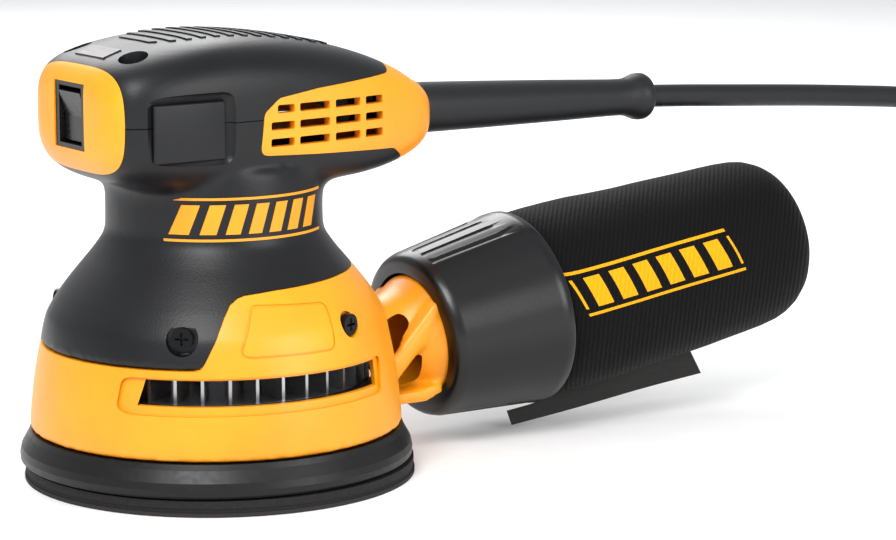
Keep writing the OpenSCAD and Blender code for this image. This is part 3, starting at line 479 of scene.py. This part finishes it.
# Side views, as (x, z): the joint between bell and shroud, and what the two yellow caps take.
joint = [(-90, 44), (-33, 44), (-31.6, 44.6), (-30.5, 46.3), (-28.5, 50), (-25.4, 55.2), (-22.5, 59.4),
         (-19.6, 62.8), (-16.6, 64.6), (-14.4, 65.2), (-5, 66), (4.7, 66.4), (24, 67.1), (90, 68.5)]
front_zone = [(-80, 80), (-47.3, 80), (-46.7, 118), (-47.3, 160), (-80, 160)]
vent_zone = rounded(
    [(-2, 105.9), (20, 104.8), (52, 103.6), (57.4, 100), (57.4, 80), (90, 80), (90, 160), (57.4, 160),
     (57.4, 135), (51, 127.6), (20, 125.4), (5, 123.4), (-0.6, 119)],
    [3, 0, 3, 3, 0, 0, 0, 0, 4, 4, 0, 5, 3])


def grown(outline, gap):
    """An outline moved outwards by a gap, for the piece that it must clear."""
    count = len(outline)
    area = sum(a[0] * b[1] - b[0] * a[1] for a, b in zip([outline[-1], *outline], outline))
    way = 1 if area > 0 else -1
    line = []
    for k in range(count):
        a, b, c = (Vector(outline[(k + j) % count]) for j in (-1, 0, 1))
        n1, n2 = Vector((b - a).yx), Vector((c - b).yx)
        n1.y, n2.y = -n1.y, -n2.y
        n = (n1.normalized() + n2.normalized()).normalized() * gap * way
        line.append((b.x + n.x, b.y + n.y))
    return line


# Soft overmould: bluish charcoal with a fine even spark texture that dulls it, polished a little
# where hands rub it.
overmould, tree, place = new_material("tpe_overmould")
spark = add_node(tree, "ShaderNodeTexNoise", {"Vector": place, "Scale": 1400.0, "Detail": 2.0})
rubbed = add_node(tree, "ShaderNodeTexNoise", {"Vector": place, "Scale": 22.0, "Detail": 3.0})
tone = add_node(tree, "ShaderNodeValToRGB", {"Fac": rubbed.outputs["Fac"]})
tone.color_ramp.elements[0].position, tone.color_ramp.elements[1].position = 0.35, 0.65
tone.color_ramp.elements[0].color = colour("0d0e10")
tone.color_ramp.elements[1].color = colour("141518")
gloss = add_node(tree, "ShaderNodeMapRange", {
    "Value": rubbed.outputs["Fac"], "From Min": 0.3, "From Max": 0.7, "To Min": 0.36, "To Max": 0.46})
grain = add_node(tree, "ShaderNodeBump", {
    "Height": spark.outputs["Fac"], "Strength": 0.35, "Distance": 0.00012})
finish_material(overmould, tree, add_node(tree, "ShaderNodeBsdfPrincipled", {
    "Base Color": tone.outputs["Color"], "Roughness": gloss.outputs["Result"],
    "Normal": grain.outputs["Normal"], "IOR": 1.5, "Specular IOR Level": 0.32}))

# Glass-filled nylon, dyed yellow and moulded: satin, with a faint flow mottle under a fine grain.
nylon, tree, place = new_material("yellow_nylon_moulded")
flow = add_node(tree, "ShaderNodeTexNoise", {"Vector": place, "Scale": 30.0, "Detail": 4.0})
tone = add_node(tree, "ShaderNodeValToRGB", {"Fac": flow.outputs["Fac"]})
tone.color_ramp.elements[0].position, tone.color_ramp.elements[1].position = 0.3, 0.7
tone.color_ramp.elements[0].color = colour("ea9106")
tone.color_ramp.elements[1].color = colour("f49f0a")
spark = add_node(tree, "ShaderNodeTexNoise", {"Vector": place, "Scale": 1600.0, "Detail": 2.0})
gloss = add_node(tree, "ShaderNodeMapRange", {
    "Value": flow.outputs["Fac"], "From Min": 0.3, "From Max": 0.7, "To Min": 0.36, "To Max": 0.44})
grain = add_node(tree, "ShaderNodeBump", {
    "Height": spark.outputs["Fac"], "Strength": 0.3, "Distance": 0.0001})
finish_material(nylon, tree, add_node(tree, "ShaderNodeBsdfPrincipled", {
    "Base Color": tone.outputs["Color"], "Roughness": gloss.outputs["Result"],
    "Normal": grain.outputs["Normal"], "IOR": 1.53, "Subsurface Weight": 0.06,
    "Subsurface Radius": (0.004, 0.002, 0.0006), "Subsurface Scale": 0.5}))

finger_well = join([block((-43, 30.8, 103.0), (-10.5, 44, 127.5), 4.6),
                    block((-43, -44, 103.0), (-10.5, -30.8, 127.5), 4.6)])


def shell_tools():
    """What both black shells lose: room for the two caps, the finger wells and the hollow."""
    return [prism(grown(front_zone, SEAM_GAP), -60, 60), prism(grown(vent_zone, SEAM_GAP), -60, 60),
            twin(finger_well), twin(hollow)]


# The top cover has a deep screw well each side of the blank plate.
top = combine(twin(form, "top_shell"),
              [block((-100, -60, SEAM_Z + SEAM_GAP), (100, 60, 160))], "INTERSECT")
combine(top, shell_tools())
combine(top, [peg(-38, s * 18, 126, 160, 4.6) for s in (-1, 1)])
finish(smooth(top), "top_shell", overmould, "housing", ["top_cover"])

lower = combine(twin(form, "lower_shell"),
                [block((-100, -60, 40), (100, 60, SEAM_Z - SEAM_GAP))], "INTERSECT")
combine(lower, [prism([(-90, 20), (90, 20)] + [(x, z + SEAM_GAP) for x, z in reversed(joint)], -90, 90)])
combine(lower, shell_tools())
combine(lower, [aimed(s * 131, 53.2, 51.5, 64, 5.0) for s in (-1, 1)])
finish(smooth(lower), "motor_shell", overmould, "housing", ["motor_housing"])

cap = combine(twin(form, "front_cap_shell"), [prism(front_zone, -60, 60)], "INTERSECT")
combine(cap, [twin(hollow), block((-60, -9.7, 108.4), (-44, 9.7, 129.0))])
finish(smooth(cap), "front_cap_shell", nylon, "housing", ["front_cap"])

# Three rows of four louvres; the first of the top row is short, to follow the panel's corner.
vent = combine(twin(form, "vent_shell"), [prism(vent_zone, -60, 60)], "INTERSECT")
louvres = []
for z in (109.6, 114.8, 120.0):
    for x0, x1 in ((1.8 if z < 119 else 4.2, 10.6), (12.6, 24.3), (26.6, 36.8), (39.0, 46.3)):
        louvres.append(block((x0, -60, z - 1.3), (x1, 60, z + 1.3), 0.6))
combine(vent, [join(louvres), hollow, settle(lathe("bore", [(-20, 6.6), (9, 6.6)], 48), along_relief)])
combine(vent, [peg(63, s * 13.5, 119.2, 160, 4.4) for s in (-1, 1)])
finish(smooth(vent), "vent_shell", nylon, "housing", ["vent_cap"])
for tool in (finger_well, form):
    bpy.data.objects.remove(tool)

# ---------------------------------------------------------------- palm pad, finger pads and plate
# Soft inlays glued into pockets: a ribbed one under the palm, and a plain one on each side where
# thumb and fingers press. The blank plate at the front of the top keeps its CAD shape.
over = handle_skin("over", -0.45)
shape(over, "SUBSURF", levels=2, render_levels=2)
under = handle_skin("under", 0.1)
shape(under, "SUBSURF", levels=2, render_levels=2)


def disc_outline(x0, x1, half, z0, z1):
    """A stadium-shaped tool along Z between two places on X."""
    tool = lathe("tool", [(z0, half), (z1, half)], 48)
    for v in tool.data.vertices:
        v.co.x += (x1 if v.co.x > 0 else x0) * MM
    return tool


RIB_PITCH, RIB_HALF = 5, 0.95
ribs = join([block((x - RIB_HALF, -20, 128), (x + RIB_HALF, 20, 150))
             for x in [RIB_PITCH * k - 27 for k in range(13)]])
combine(ribs, [disc_outline(-15.5, 27, 15.6, 120, 155), over], "INTERSECT")
inlay = combine(under, [disc_outline(-15.5, 26, 17.4, 128, 155)], "INTERSECT")
combine(inlay, [ribs], "UNION")
finish(smooth(inlay), "palm_inlay", overmould, "housing", ["palm_pad"])

for s in (-1, 1):
    pad = block((-39, 30.9, 105.9), (-14, 32.3, 123.9), 0.6)
    if s < 0:
        over_middle = Matrix.Translation((0, 0, (105.9 + 123.9) * MM))
        settle(pad, over_middle @ Matrix.Rotation(math.pi, 4, "X"))
    finish(smooth(pad), "finger_inlay_right" if s < 0 else "finger_inlay_left", overmould, "housing",
           ["finger_pads"])

# ---------------------------------------------------------------- shroud and dust port
# The yellow shroud round the fan and pad is moulded in the same nylon, in one with the dust duct,
# its flange and the ribs that brace it. A long window on each side lets the cooling air out.
PORT_TILT = 7.4
PORT = Matrix.Translation((0.078, 0, 0.036)) @ Matrix.Rotation(math.radians(90 - PORT_TILT), 4, "Y")

body = lathe("body", SKIRT + BELL, 128)
duct = settle(loft("duct", [
    (-36, 15, 15, -4), (-26, 13.5, 12.6, -3), (-18, 13.5, 12.6, -2), (-12, 15, 14.4, -1),
    (-7.5, 17.6, 17.4, 0), (-4, 19.8, 20, 0), (-2.4, 20.8, 20.9, 0), (4, 21, 21, 0),
    (4, 18.6, 18.6, 0), (12, 18.5, 18.5, 0)], 64), PORT)
web = prism([(44, 17.4), (70, 17.0), (76, 19.4), (76, 22.4), (60, 21), (44, 21.5)], -17.6, 17.6)
strut_line = [(44, 17.6), (52, 18.4), (78.2, 46), (77, 50), (73.4, 50.5), (70.4, 47.4), (47, 23.5)]
struts = [prism(strut_line, s * 16.6 - 1.7, s * 16.6 + 1.7) for s in (-1, 1)]
combine(body, [duct, web, *struts], "UNION")
shape(body, "REMESH", mode="VOXEL", voxel_size=REMESH)
shape(body, "SMOOTH", factor=0.5, iterations=8)
port_bore = settle(lathe("bore", [(-26, 13), (-8, 16.2), (40, 16.2)], 64), PORT)
combine(body, [lathe("bore", [(10, 56.4), (24, 56)] + [(z, r - 3) for z, r in SKIRT[2:] + BELL], 96),
               block((-90, -90, 10), (90, 90, 16.05)), port_bore])
below_joint = prism([(-90, 10), (90, 10)] + [(x, z - SEAM_GAP) for x, z in reversed(joint)], -90, 90)
combine(body, [below_joint], "INTERSECT")
window_line = [(-46.5, 33), (29.5, 33), (29.5, 41), (-44, 41)]
combine(body, [prism(window_line, -75, -30), prism(window_line, 30, 75)])


def skin_deep(tool, depth):
    """Leaves only the part of a tool that goes depth into the shroud's outside."""
    under_skin = lathe("under_skin", [(z, r - depth) for z, r in [(10, 60.1)] + SKIRT + BELL], 96)
    return combine(tool, [under_skin])


def both_ways(outline, inner=None):
    """Slabs for the two sides, from an outline of (x, z), hollowed by an inner outline."""
    sides = []
    for near, far in ((-80, -20), (20, 80)):
        slab = prism(outline, near, far)
        if inner:
            combine(slab, [prism(inner, near - 1, far + 1)])
        sides.append(slab)
    return join(sides)


# A sunk frame round each window, a grooved outline of a panel above it, and a screw recess.
frame_line = rounded([(-51.5, 30.2), (31, 30.6), (32.5, 42), (-49, 41.6)], [3, 2, 2, 3])
panel_line = rounded([(-22.2, 47.3), (11.4, 47.2), (12, 61.3), (-13.9, 62.6)], 3)
combine(body, [skin_deep(both_ways(frame_line), 1.1),
               skin_deep(both_ways(panel_line, grown(panel_line, -0.7)), 0.45)])
combine(body, [aimed(s * 68.7, 53.6, 50, 64, 4.0) for s in (-1, 1)])
finish(smooth(body), "shroud_shell", nylon, "housing", ["shroud"])

# ---------------------------------------------------------------- locking collar and dust bag
# The collar is a hard black moulding with grip ribs that twists on the port. The bag is a sleeve
# of black filter cloth sewn round a drum, with a stripe printed on it and a tag on its underside.

# Hard nylon, moulded black: glossier than the overmould, with faint flow marks.
plastic, tree, place = new_material("black_nylon_moulded")
flow = add_node(tree, "ShaderNodeTexNoise", {"Vector": place, "Scale": 45.0, "Detail": 3.0})
tone = add_node(tree, "ShaderNodeValToRGB", {"Fac": flow.outputs["Fac"]})
tone.color_ramp.elements[0].color = colour("08080a")
tone.color_ramp.elements[1].color = colour("0d0e10")
spark = add_node(tree, "ShaderNodeTexNoise", {"Vector": place, "Scale": 1200.0, "Detail": 2.0})
grain = add_node(tree, "ShaderNodeBump", {
    "Height": spark.outputs["Fac"], "Strength": 0.2, "Distance": 0.0001})
finish_material(plastic, tree, add_node(tree, "ShaderNodeBsdfPrincipled", {
    "Base Color": tone.outputs["Color"], "Roughness": 0.3, "Normal": grain.outputs["Normal"],
    "IOR": 1.53, "Specular IOR Level": 0.4}))
collar = lathe("collar", [
    (-3, 21.6), (-3, 25.4), (-2.4, 26.6), (-1, 27.6), (1, 28.3), (36.5, 32.8), (37.2, 33.1), (40.2, 33.2),
    (41, 32.8), (41, 30.4), (23, 29.5), (21.4, 21.4), (6.4, 21.4), (6.4, 24.6), (0, 24.6), (0, 21.6),
    (-3, 21.6)], 128)
# Five grip flutes on top and five below, each a blunt-ended groove that follows the collar's cone.
FLUTE_STEP = 11
flutes = []
for around in (180, 0):
    for k in range(-2, 3):
        flute = lathe("flute", [(-16, 0.4), (-15.6, 1.4), (-14.5, 2.1), (-13, 2.4),
                                (13, 2.4), (14.5, 2.1), (15.6, 1.4), (16, 0.4)], 20)
        turn = Matrix.Rotation(math.radians(around + FLUTE_STEP * k), 4, "Z")
        cone = Matrix.Translation((32.0 * MM, 0, 15.5 * MM)) @ Matrix.Rotation(math.radians(7.0), 4, "Y")
        flutes.append(settle(flute, turn @ cone))
combine(collar, [join(flutes)])
settle(collar, PORT)
finish(smooth(collar, 40), "twist_collar", plastic, "collar", ["lock_collar"])

# Filter cloth: a black polyester twill with a fine diagonal, matt with a soft sheen at its edges.
twill, tree, place = new_material("twill_polyester")
tilt = add_node(tree, "ShaderNodeMapping", {
    "Vector": place, "Rotation": (0.0, math.radians(-PORT_TILT), math.radians(38))})
warp = add_node(tree, "ShaderNodeTexWave", {
    "Vector": tilt.outputs["Vector"], "Scale": 210.0, "Distortion": 0.6, "Detail": 1.0},
    bands_direction="X")
fuzz = add_node(tree, "ShaderNodeTexNoise", {"Vector": place, "Scale": 900.0, "Detail": 3.0})
height = add_node(tree, "ShaderNodeMath", {0: warp.outputs["Fac"], 1: fuzz.outputs["Fac"]},
                  operation="ADD")
weave = add_node(tree, "ShaderNodeBump", {
    "Height": height.outputs["Value"], "Strength": 0.5, "Distance": 0.0004})
tone = add_node(tree, "ShaderNodeMixRGB", {
    "Fac": warp.outputs["Fac"], "Color1": colour("040405"), "Color2": colour("0b0b0c")})
finish_material(twill, tree, add_node(tree, "ShaderNodeBsdfPrincipled", {
    "Base Color": tone.outputs["Color"], "Roughness": 0.8, "Normal": weave.outputs["Normal"],
    "Sheen Weight": 0.04, "Sheen Roughness": 0.4, "Specular IOR Level": 0.12}))

# The sleeve's outside runs from the collar to the drum's end, and its inside runs back again.
bag = lathe("bag", [
    (26, 27.2), (26, 28.5), (34, 28.5), (40, 28.6), (42.4, 31.0), (46, 32.4), (60, 32.4), (80, 31.9),
    (100, 31.2), (120, 30.6), (136, 30.1), (144, 29.0), (149.5, 26.2), (152.8, 21.8), (154, 15),
    (154.2, 6), (154.2, 1),
    (152.6, 1), (152.4, 14), (151.2, 20.8), (148, 25), (143, 27.6), (135, 28.5), (60, 30.8), (46, 30.8),
    (43.2, 29.4), (40.8, 27.1), (26, 27.2)], 96)
shape(bag, "SUBSURF", levels=1, render_levels=1)
slack = bpy.data.textures.new("slack_cloth", "CLOUDS")
slack.noise_scale = 0.03
shape(bag, "DISPLACE", texture=slack, texture_coords="LOCAL", strength=1.5 * MM, mid_level=0.55)
# It sags a little between the collar and the drum's end, the underside most.
SAG, SAG_FROM, SAG_RUN = 0.9, 46, 108
for v in bag.data.vertices:
    share = min(max(0.0, (v.co.z / MM - SAG_FROM) / SAG_RUN), 1)
    v.co.x += SAG * MM * math.sin(math.pi * share) * (1 if v.co.x > 0 else 0.6)
settle(bag, PORT)
finish(smooth(bag, 60), "dust_bag", twill, "bag", ["bag_cloth"])

# The print on the cloth: two thin yellow lines with slanted bars between them. It is worked out
# along the bag, where down, across and run are metres from the port's middle.
tree = twill.node_tree
place = add_node(tree, "ShaderNodeTexCoord").outputs["Object"]
unturn = PORT.inverted().to_euler()
in_bag = add_node(tree, "ShaderNodeMapping", {
    "Vector": place, "Rotation": tuple(unturn), "Location": tuple(PORT.inverted().translation)})
axes = add_node(tree, "ShaderNodeSeparateXYZ", {"Vector": in_bag.outputs["Vector"]})
down, across, run = axes.outputs["X"], axes.outputs["Y"], axes.outputs["Z"]


BAR_PITCH, BAR_SHARE, BAR_SLANT = 0.0105, 0.62, -0.35
slant = add_node(tree, "ShaderNodeMath", {0: down, 1: BAR_SLANT, 2: run}, operation="MULTIPLY_ADD")
beat = add_node(tree, "ShaderNodeMath", {0: slant.outputs["Value"], 1: BAR_PITCH}, operation="DIVIDE")
phase = add_node(tree, "ShaderNodeMath", {0: beat.outputs["Value"]}, operation="FRACT")
inside = {}
for part, (value, low, high) in {
    "first_line": (down, -0.0152, -0.0142), "last_line": (down, -0.0008, 0.0002),
    "bar": (phase.outputs["Value"], 0.0, BAR_SHARE), "bar_height": (down, -0.0126, -0.0024),
    "length": (slant.outputs["Value"], 0.0475, 0.1165), "near_side": (across, -0.05, 0.0),
}.items():
    inside[part] = add_node(tree, "ShaderNodeMath", {
        0: value, 1: (low + high) / 2, 2: (high - low) / 2}, operation="COMPARE").outputs["Value"]
lines, bars, span = (
    add_node(tree, "ShaderNodeMath", {0: inside[one], 1: inside[other]}, operation=how).outputs["Value"]
    for how, one, other in (("ADD", "first_line", "last_line"), ("MULTIPLY", "bar", "bar_height"),
                            ("MULTIPLY", "length", "near_side")))
marks = add_node(tree, "ShaderNodeMath", {0: lines, 1: bars}, operation="MAXIMUM")
inked = add_node(tree, "ShaderNodeMath", {0: marks.outputs["Value"], 1: span}, operation="MULTIPLY")
ink = add_node(tree, "ShaderNodeMixRGB", {
    "Fac": inked.outputs["Value"], "Color1": tone.outputs["Color"], "Color2": colour("e8a010")})
cloth_shader = next(n for n in tree.nodes if n.type == "BSDF_PRINCIPLED")
tree.links.new(ink.outputs["Color"], cloth_shader.inputs["Base Color"])

# Woven tag of brown-black thread with a blank face, sewn into the bag's lower seam.
tag_cloth, tree, place = new_material("woven_tag")
weave = add_node(tree, "ShaderNodeTexWave", {
    "Vector": place, "Scale": 500.0, "Distortion": 0.3}, bands_direction="Z")
spot = add_node(tree, "ShaderNodeTexNoise", {"Vector": place, "Scale": 180.0, "Detail": 4.0})
tag_tone = add_node(tree, "ShaderNodeMixRGB", {
    "Fac": spot.outputs["Fac"], "Color1": colour("0d0b0a"), "Color2": colour("1a1714")})
bump = add_node(tree, "ShaderNodeBump", {"Height": weave.outputs["Fac"], "Strength": 0.4, "Distance": 0.0002})
finish_material(tag_cloth, tree, add_node(tree, "ShaderNodeBsdfPrincipled", {
    "Base Color": tag_tone.outputs["Color"], "Roughness": 0.75, "Normal": bump.outputs["Normal"],
    "Sheen Weight": 0.1}))
tag = prism([(31.4, 42), (34.0, 42), (33.8, 29), (39.0, 30), (41.0, 111.4), (31.4, 108.6)], -0.35, 0.35)
shape(tag, "SUBSURF", levels=3, render_levels=3, subdivision_type="SIMPLE")
for v in tag.data.vertices:
    v.co.y += 0.8 * MM * math.sin(v.co.z / MM * 0.09) * (v.co.x / MM - 31) / 9
settle(tag, PORT @ Matrix.Rotation(math.radians(-8), 4, "Z"))
finish(smooth(tag, 60), "woven_tag_blank", tag_cloth, "bag", ["bag_label"])

# ---------------------------------------------------------------- painted stripes on the neck
# Pad-printed on the overmould: two thin yellow lines round the side of the neck, with slanted
# bars between them. The ink is thin and a little worn, so its yellow is mottled.
printed, tree, place = new_material("pad_print_yellow")
wear = add_node(tree, "ShaderNodeTexNoise", {"Vector": place, "Scale": 120.0, "Detail": 4.0})
tone = add_node(tree, "ShaderNodeMixRGB", {
    "Fac": wear.outputs["Fac"], "Color1": colour("e89006"), "Color2": colour("f29c0c")})
finish_material(printed, tree, add_node(tree, "ShaderNodeBsdfPrincipled", {
    "Base Color": tone.outputs["Color"], "Roughness": 0.45}))
bars = [prism([(-29, z), (23, z), (23, z + 0.8), (-29, z + 0.8)], -45, -15) for z in (80.2, 93)]
BAR_WIDE, BAR_LEAN = 4.3, 1.4
for left in [6.9 * k - 26.6 for k in range(7)]:
    bars.append(prism([(left - BAR_LEAN, 82.4), (left - BAR_LEAN + BAR_WIDE, 82.4),
                       (left + BAR_LEAN + BAR_WIDE, 91.6), (left + BAR_LEAN, 91.6)], -45, -15))
neck_skin = lathe("neck_skin", [(78, 35.5), (80.4, 34.72), (84, 34.62), (96, 34.62)], 128)
stripes = combine(join(bars), [neck_skin], "INTERSECT")
combine(stripes, [lathe("neck_core", [(76, 34.4), (97, 34.4)], 128)])
finish(smooth(stripes), "neck_stripes", printed, "housing")

# ---------------------------------------------------------------- finishes of the engineering parts
# The parts that come from the CAD keep their shapes: screws, bearings, motor, fan, pad and switch.
# Each gets the finish of what it is made of.


def worked(name, dark, light, rough, metal, scale, depth, stretch=(1, 1, 1), **fixed):
    """A finish with a tone, a roughness and a grain that share one noise, stretched for brushing."""
    made, tree, place = new_material(name)
    lie = add_node(tree, "ShaderNodeMapping", {"Vector": place, "Scale": stretch})
    noise = add_node(tree, "ShaderNodeTexNoise", {
        "Vector": lie.outputs["Vector"], "Scale": scale, "Detail": 4.0})
    tone = add_node(tree, "ShaderNodeMixRGB", {
        "Fac": noise.outputs["Fac"], "Color1": colour(dark), "Color2": colour(light)})
    gloss = add_node(tree, "ShaderNodeMapRange", {
        "Value": noise.outputs["Fac"], "From Min": 0.25, "From Max": 0.75,
        "To Min": rough * 0.85, "To Max": rough * 1.15})
    bump = add_node(tree, "ShaderNodeBump", {
        "Height": noise.outputs["Fac"], "Strength": 0.4, "Distance": depth})
    shader = add_node(tree, "ShaderNodeBsdfPrincipled", {
        "Base Color": tone.outputs["Color"], "Roughness": gloss.outputs["Result"],
        "Normal": bump.outputs["Normal"], "Metallic": metal, **fixed})
    return finish_material(made, tree, shader)


# Blackened steel screws: dark with a dull metal gleam on the edges of the drive.
black_oxide = worked("steel_black_oxide", "08090a", "111214", 0.4, 0.7, 600, 0.00005)
# Ground steel of the shaft and bearings: bright, with fine rings from the wheel.
ground_steel = worked("steel_ground", "a9acb0", "c3c6ca", 0.25, 1.0, 900, 0.00003, (1, 1, 6))
# Zinc-plated pressings and springs: a little duller and bluish.
zinc = worked("steel_zinc_plated", "9da2a8", "b9bec4", 0.35, 1.0, 400, 0.00004)
# Die-cast aluminium of fan, bracket and counterweight: grey, grainy, softly bright.
cast = worked("aluminium_die_cast", "a5a8ab", "cfd2d4", 0.38, 1.0, 700, 0.00006)
# Stacked laminations: dark grey with a line for each half-millimetre sheet.
laminated = worked("steel_laminations", "55585c", "74777b", 0.45, 0.9, 300, 0.0001, (0.05, 0.05, 8))
# Enamelled copper windings: warm, shiny, banded by the wire.
copper = worked("copper_enamelled", "8c4a22", "b5672f", 0.3, 0.85, 500, 0.0002, (0.2, 0.2, 4))
# Brass of brush holders and terminals: yellow metal with light tarnish.
brass = worked("brass_stamped", "9c7a32", "c49f4a", 0.33, 1.0, 250, 0.00004)
# Pressed carbon of the brushes: black and dull with a graphite gleam.
graphite = worked("carbon_pressed", "191a1b", "2b2c2e", 0.55, 0.2, 800, 0.00006)
# Closed-cell foam of the pad: very dark, matt, with fine pores.
foam = worked("eva_foam", "0a0a0b", "141416", 0.85, 0.0, 1100, 0.0004)
# Hook tape under the foam: dark and bristly.
hooks = worked("hook_tape", "0e0e10", "1c1d1f", 0.9, 0.0, 1500, 0.0006)
# Aluminium-oxide abrasive on paper: grey-brown grit, drawn coarser than real so that it shows.
grit = worked("abrasive_p80", "1c1a19", "332f2d", 0.95, 0.0, 1300, 0.0006)
# Moulded EPDM of skirt, boot and seal: black with a soft dull sheen.
rubber = worked("epdm_moulded", "070708", "0d0d0f", 0.42, 0.0, 500, 0.00008, **{"Specular IOR Level": 0.35})
# Blue PVC on the internal wires: smooth and glossy.
pvc = worked("wire_pvc", "3f6da8", "4f7fbb", 0.35, 0.0, 300, 0.00003)
# Anodised blank plate on the handle's top: black with a faint brushed grain.
plate_finish = worked("plate_anodised", "1b1416", "2a1f22", 0.4, 0.3, 400, 0.00003, (8, 0.3, 1))
# Glossy thermoplastic of the switch: black and smooth.
switch_plastic = worked("switch_polyamide", "070708", "0c0c0e", 0.28, 0.0, 500, 0.00004)

finishes = {
    black_oxide: ["handle_screws", "shroud_screws", "bell_screws", "field_screws", "pad_screws",
                  "clamp_screws"],
    ground_steel: ["armature_shaft", "lower_bearing", "upper_bearing", "pad_bearing", "pad_spindle"],
    zinc: ["brush_spring_left", "brush_spring_right", "bag_clamp_band"],
    cast: ["fan", "bearing_bracket", "counterweight"],
    laminated: ["armature_core", "motor_field"],
    copper: ["armature_windings", "field_windings", "commutator"],
    brass: ["brush_holders", "switch_terminals", "plug_blades"],
    graphite: ["brush_left", "brush_right"],
    foam: ["pad_foam"],
    hooks: ["hook_layer"],
    grit: ["sanding_disc"],
    rubber: ["brake_skirt", "bearing_boot", "neck_seal", "cord_inner"],
    pvc: ["lead_wires"],
    plate_finish: ["badge_plate"],
    switch_plastic: ["switch_bezel", "switch_body", "rocker"],
    plastic: ["bag_neck", "fan_baffle", "cord_clamp", "pad_plate"],
}
for material, names in finishes.items():
    for name in names:
        paint(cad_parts[name], material)
        smooth(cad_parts[name], 30)
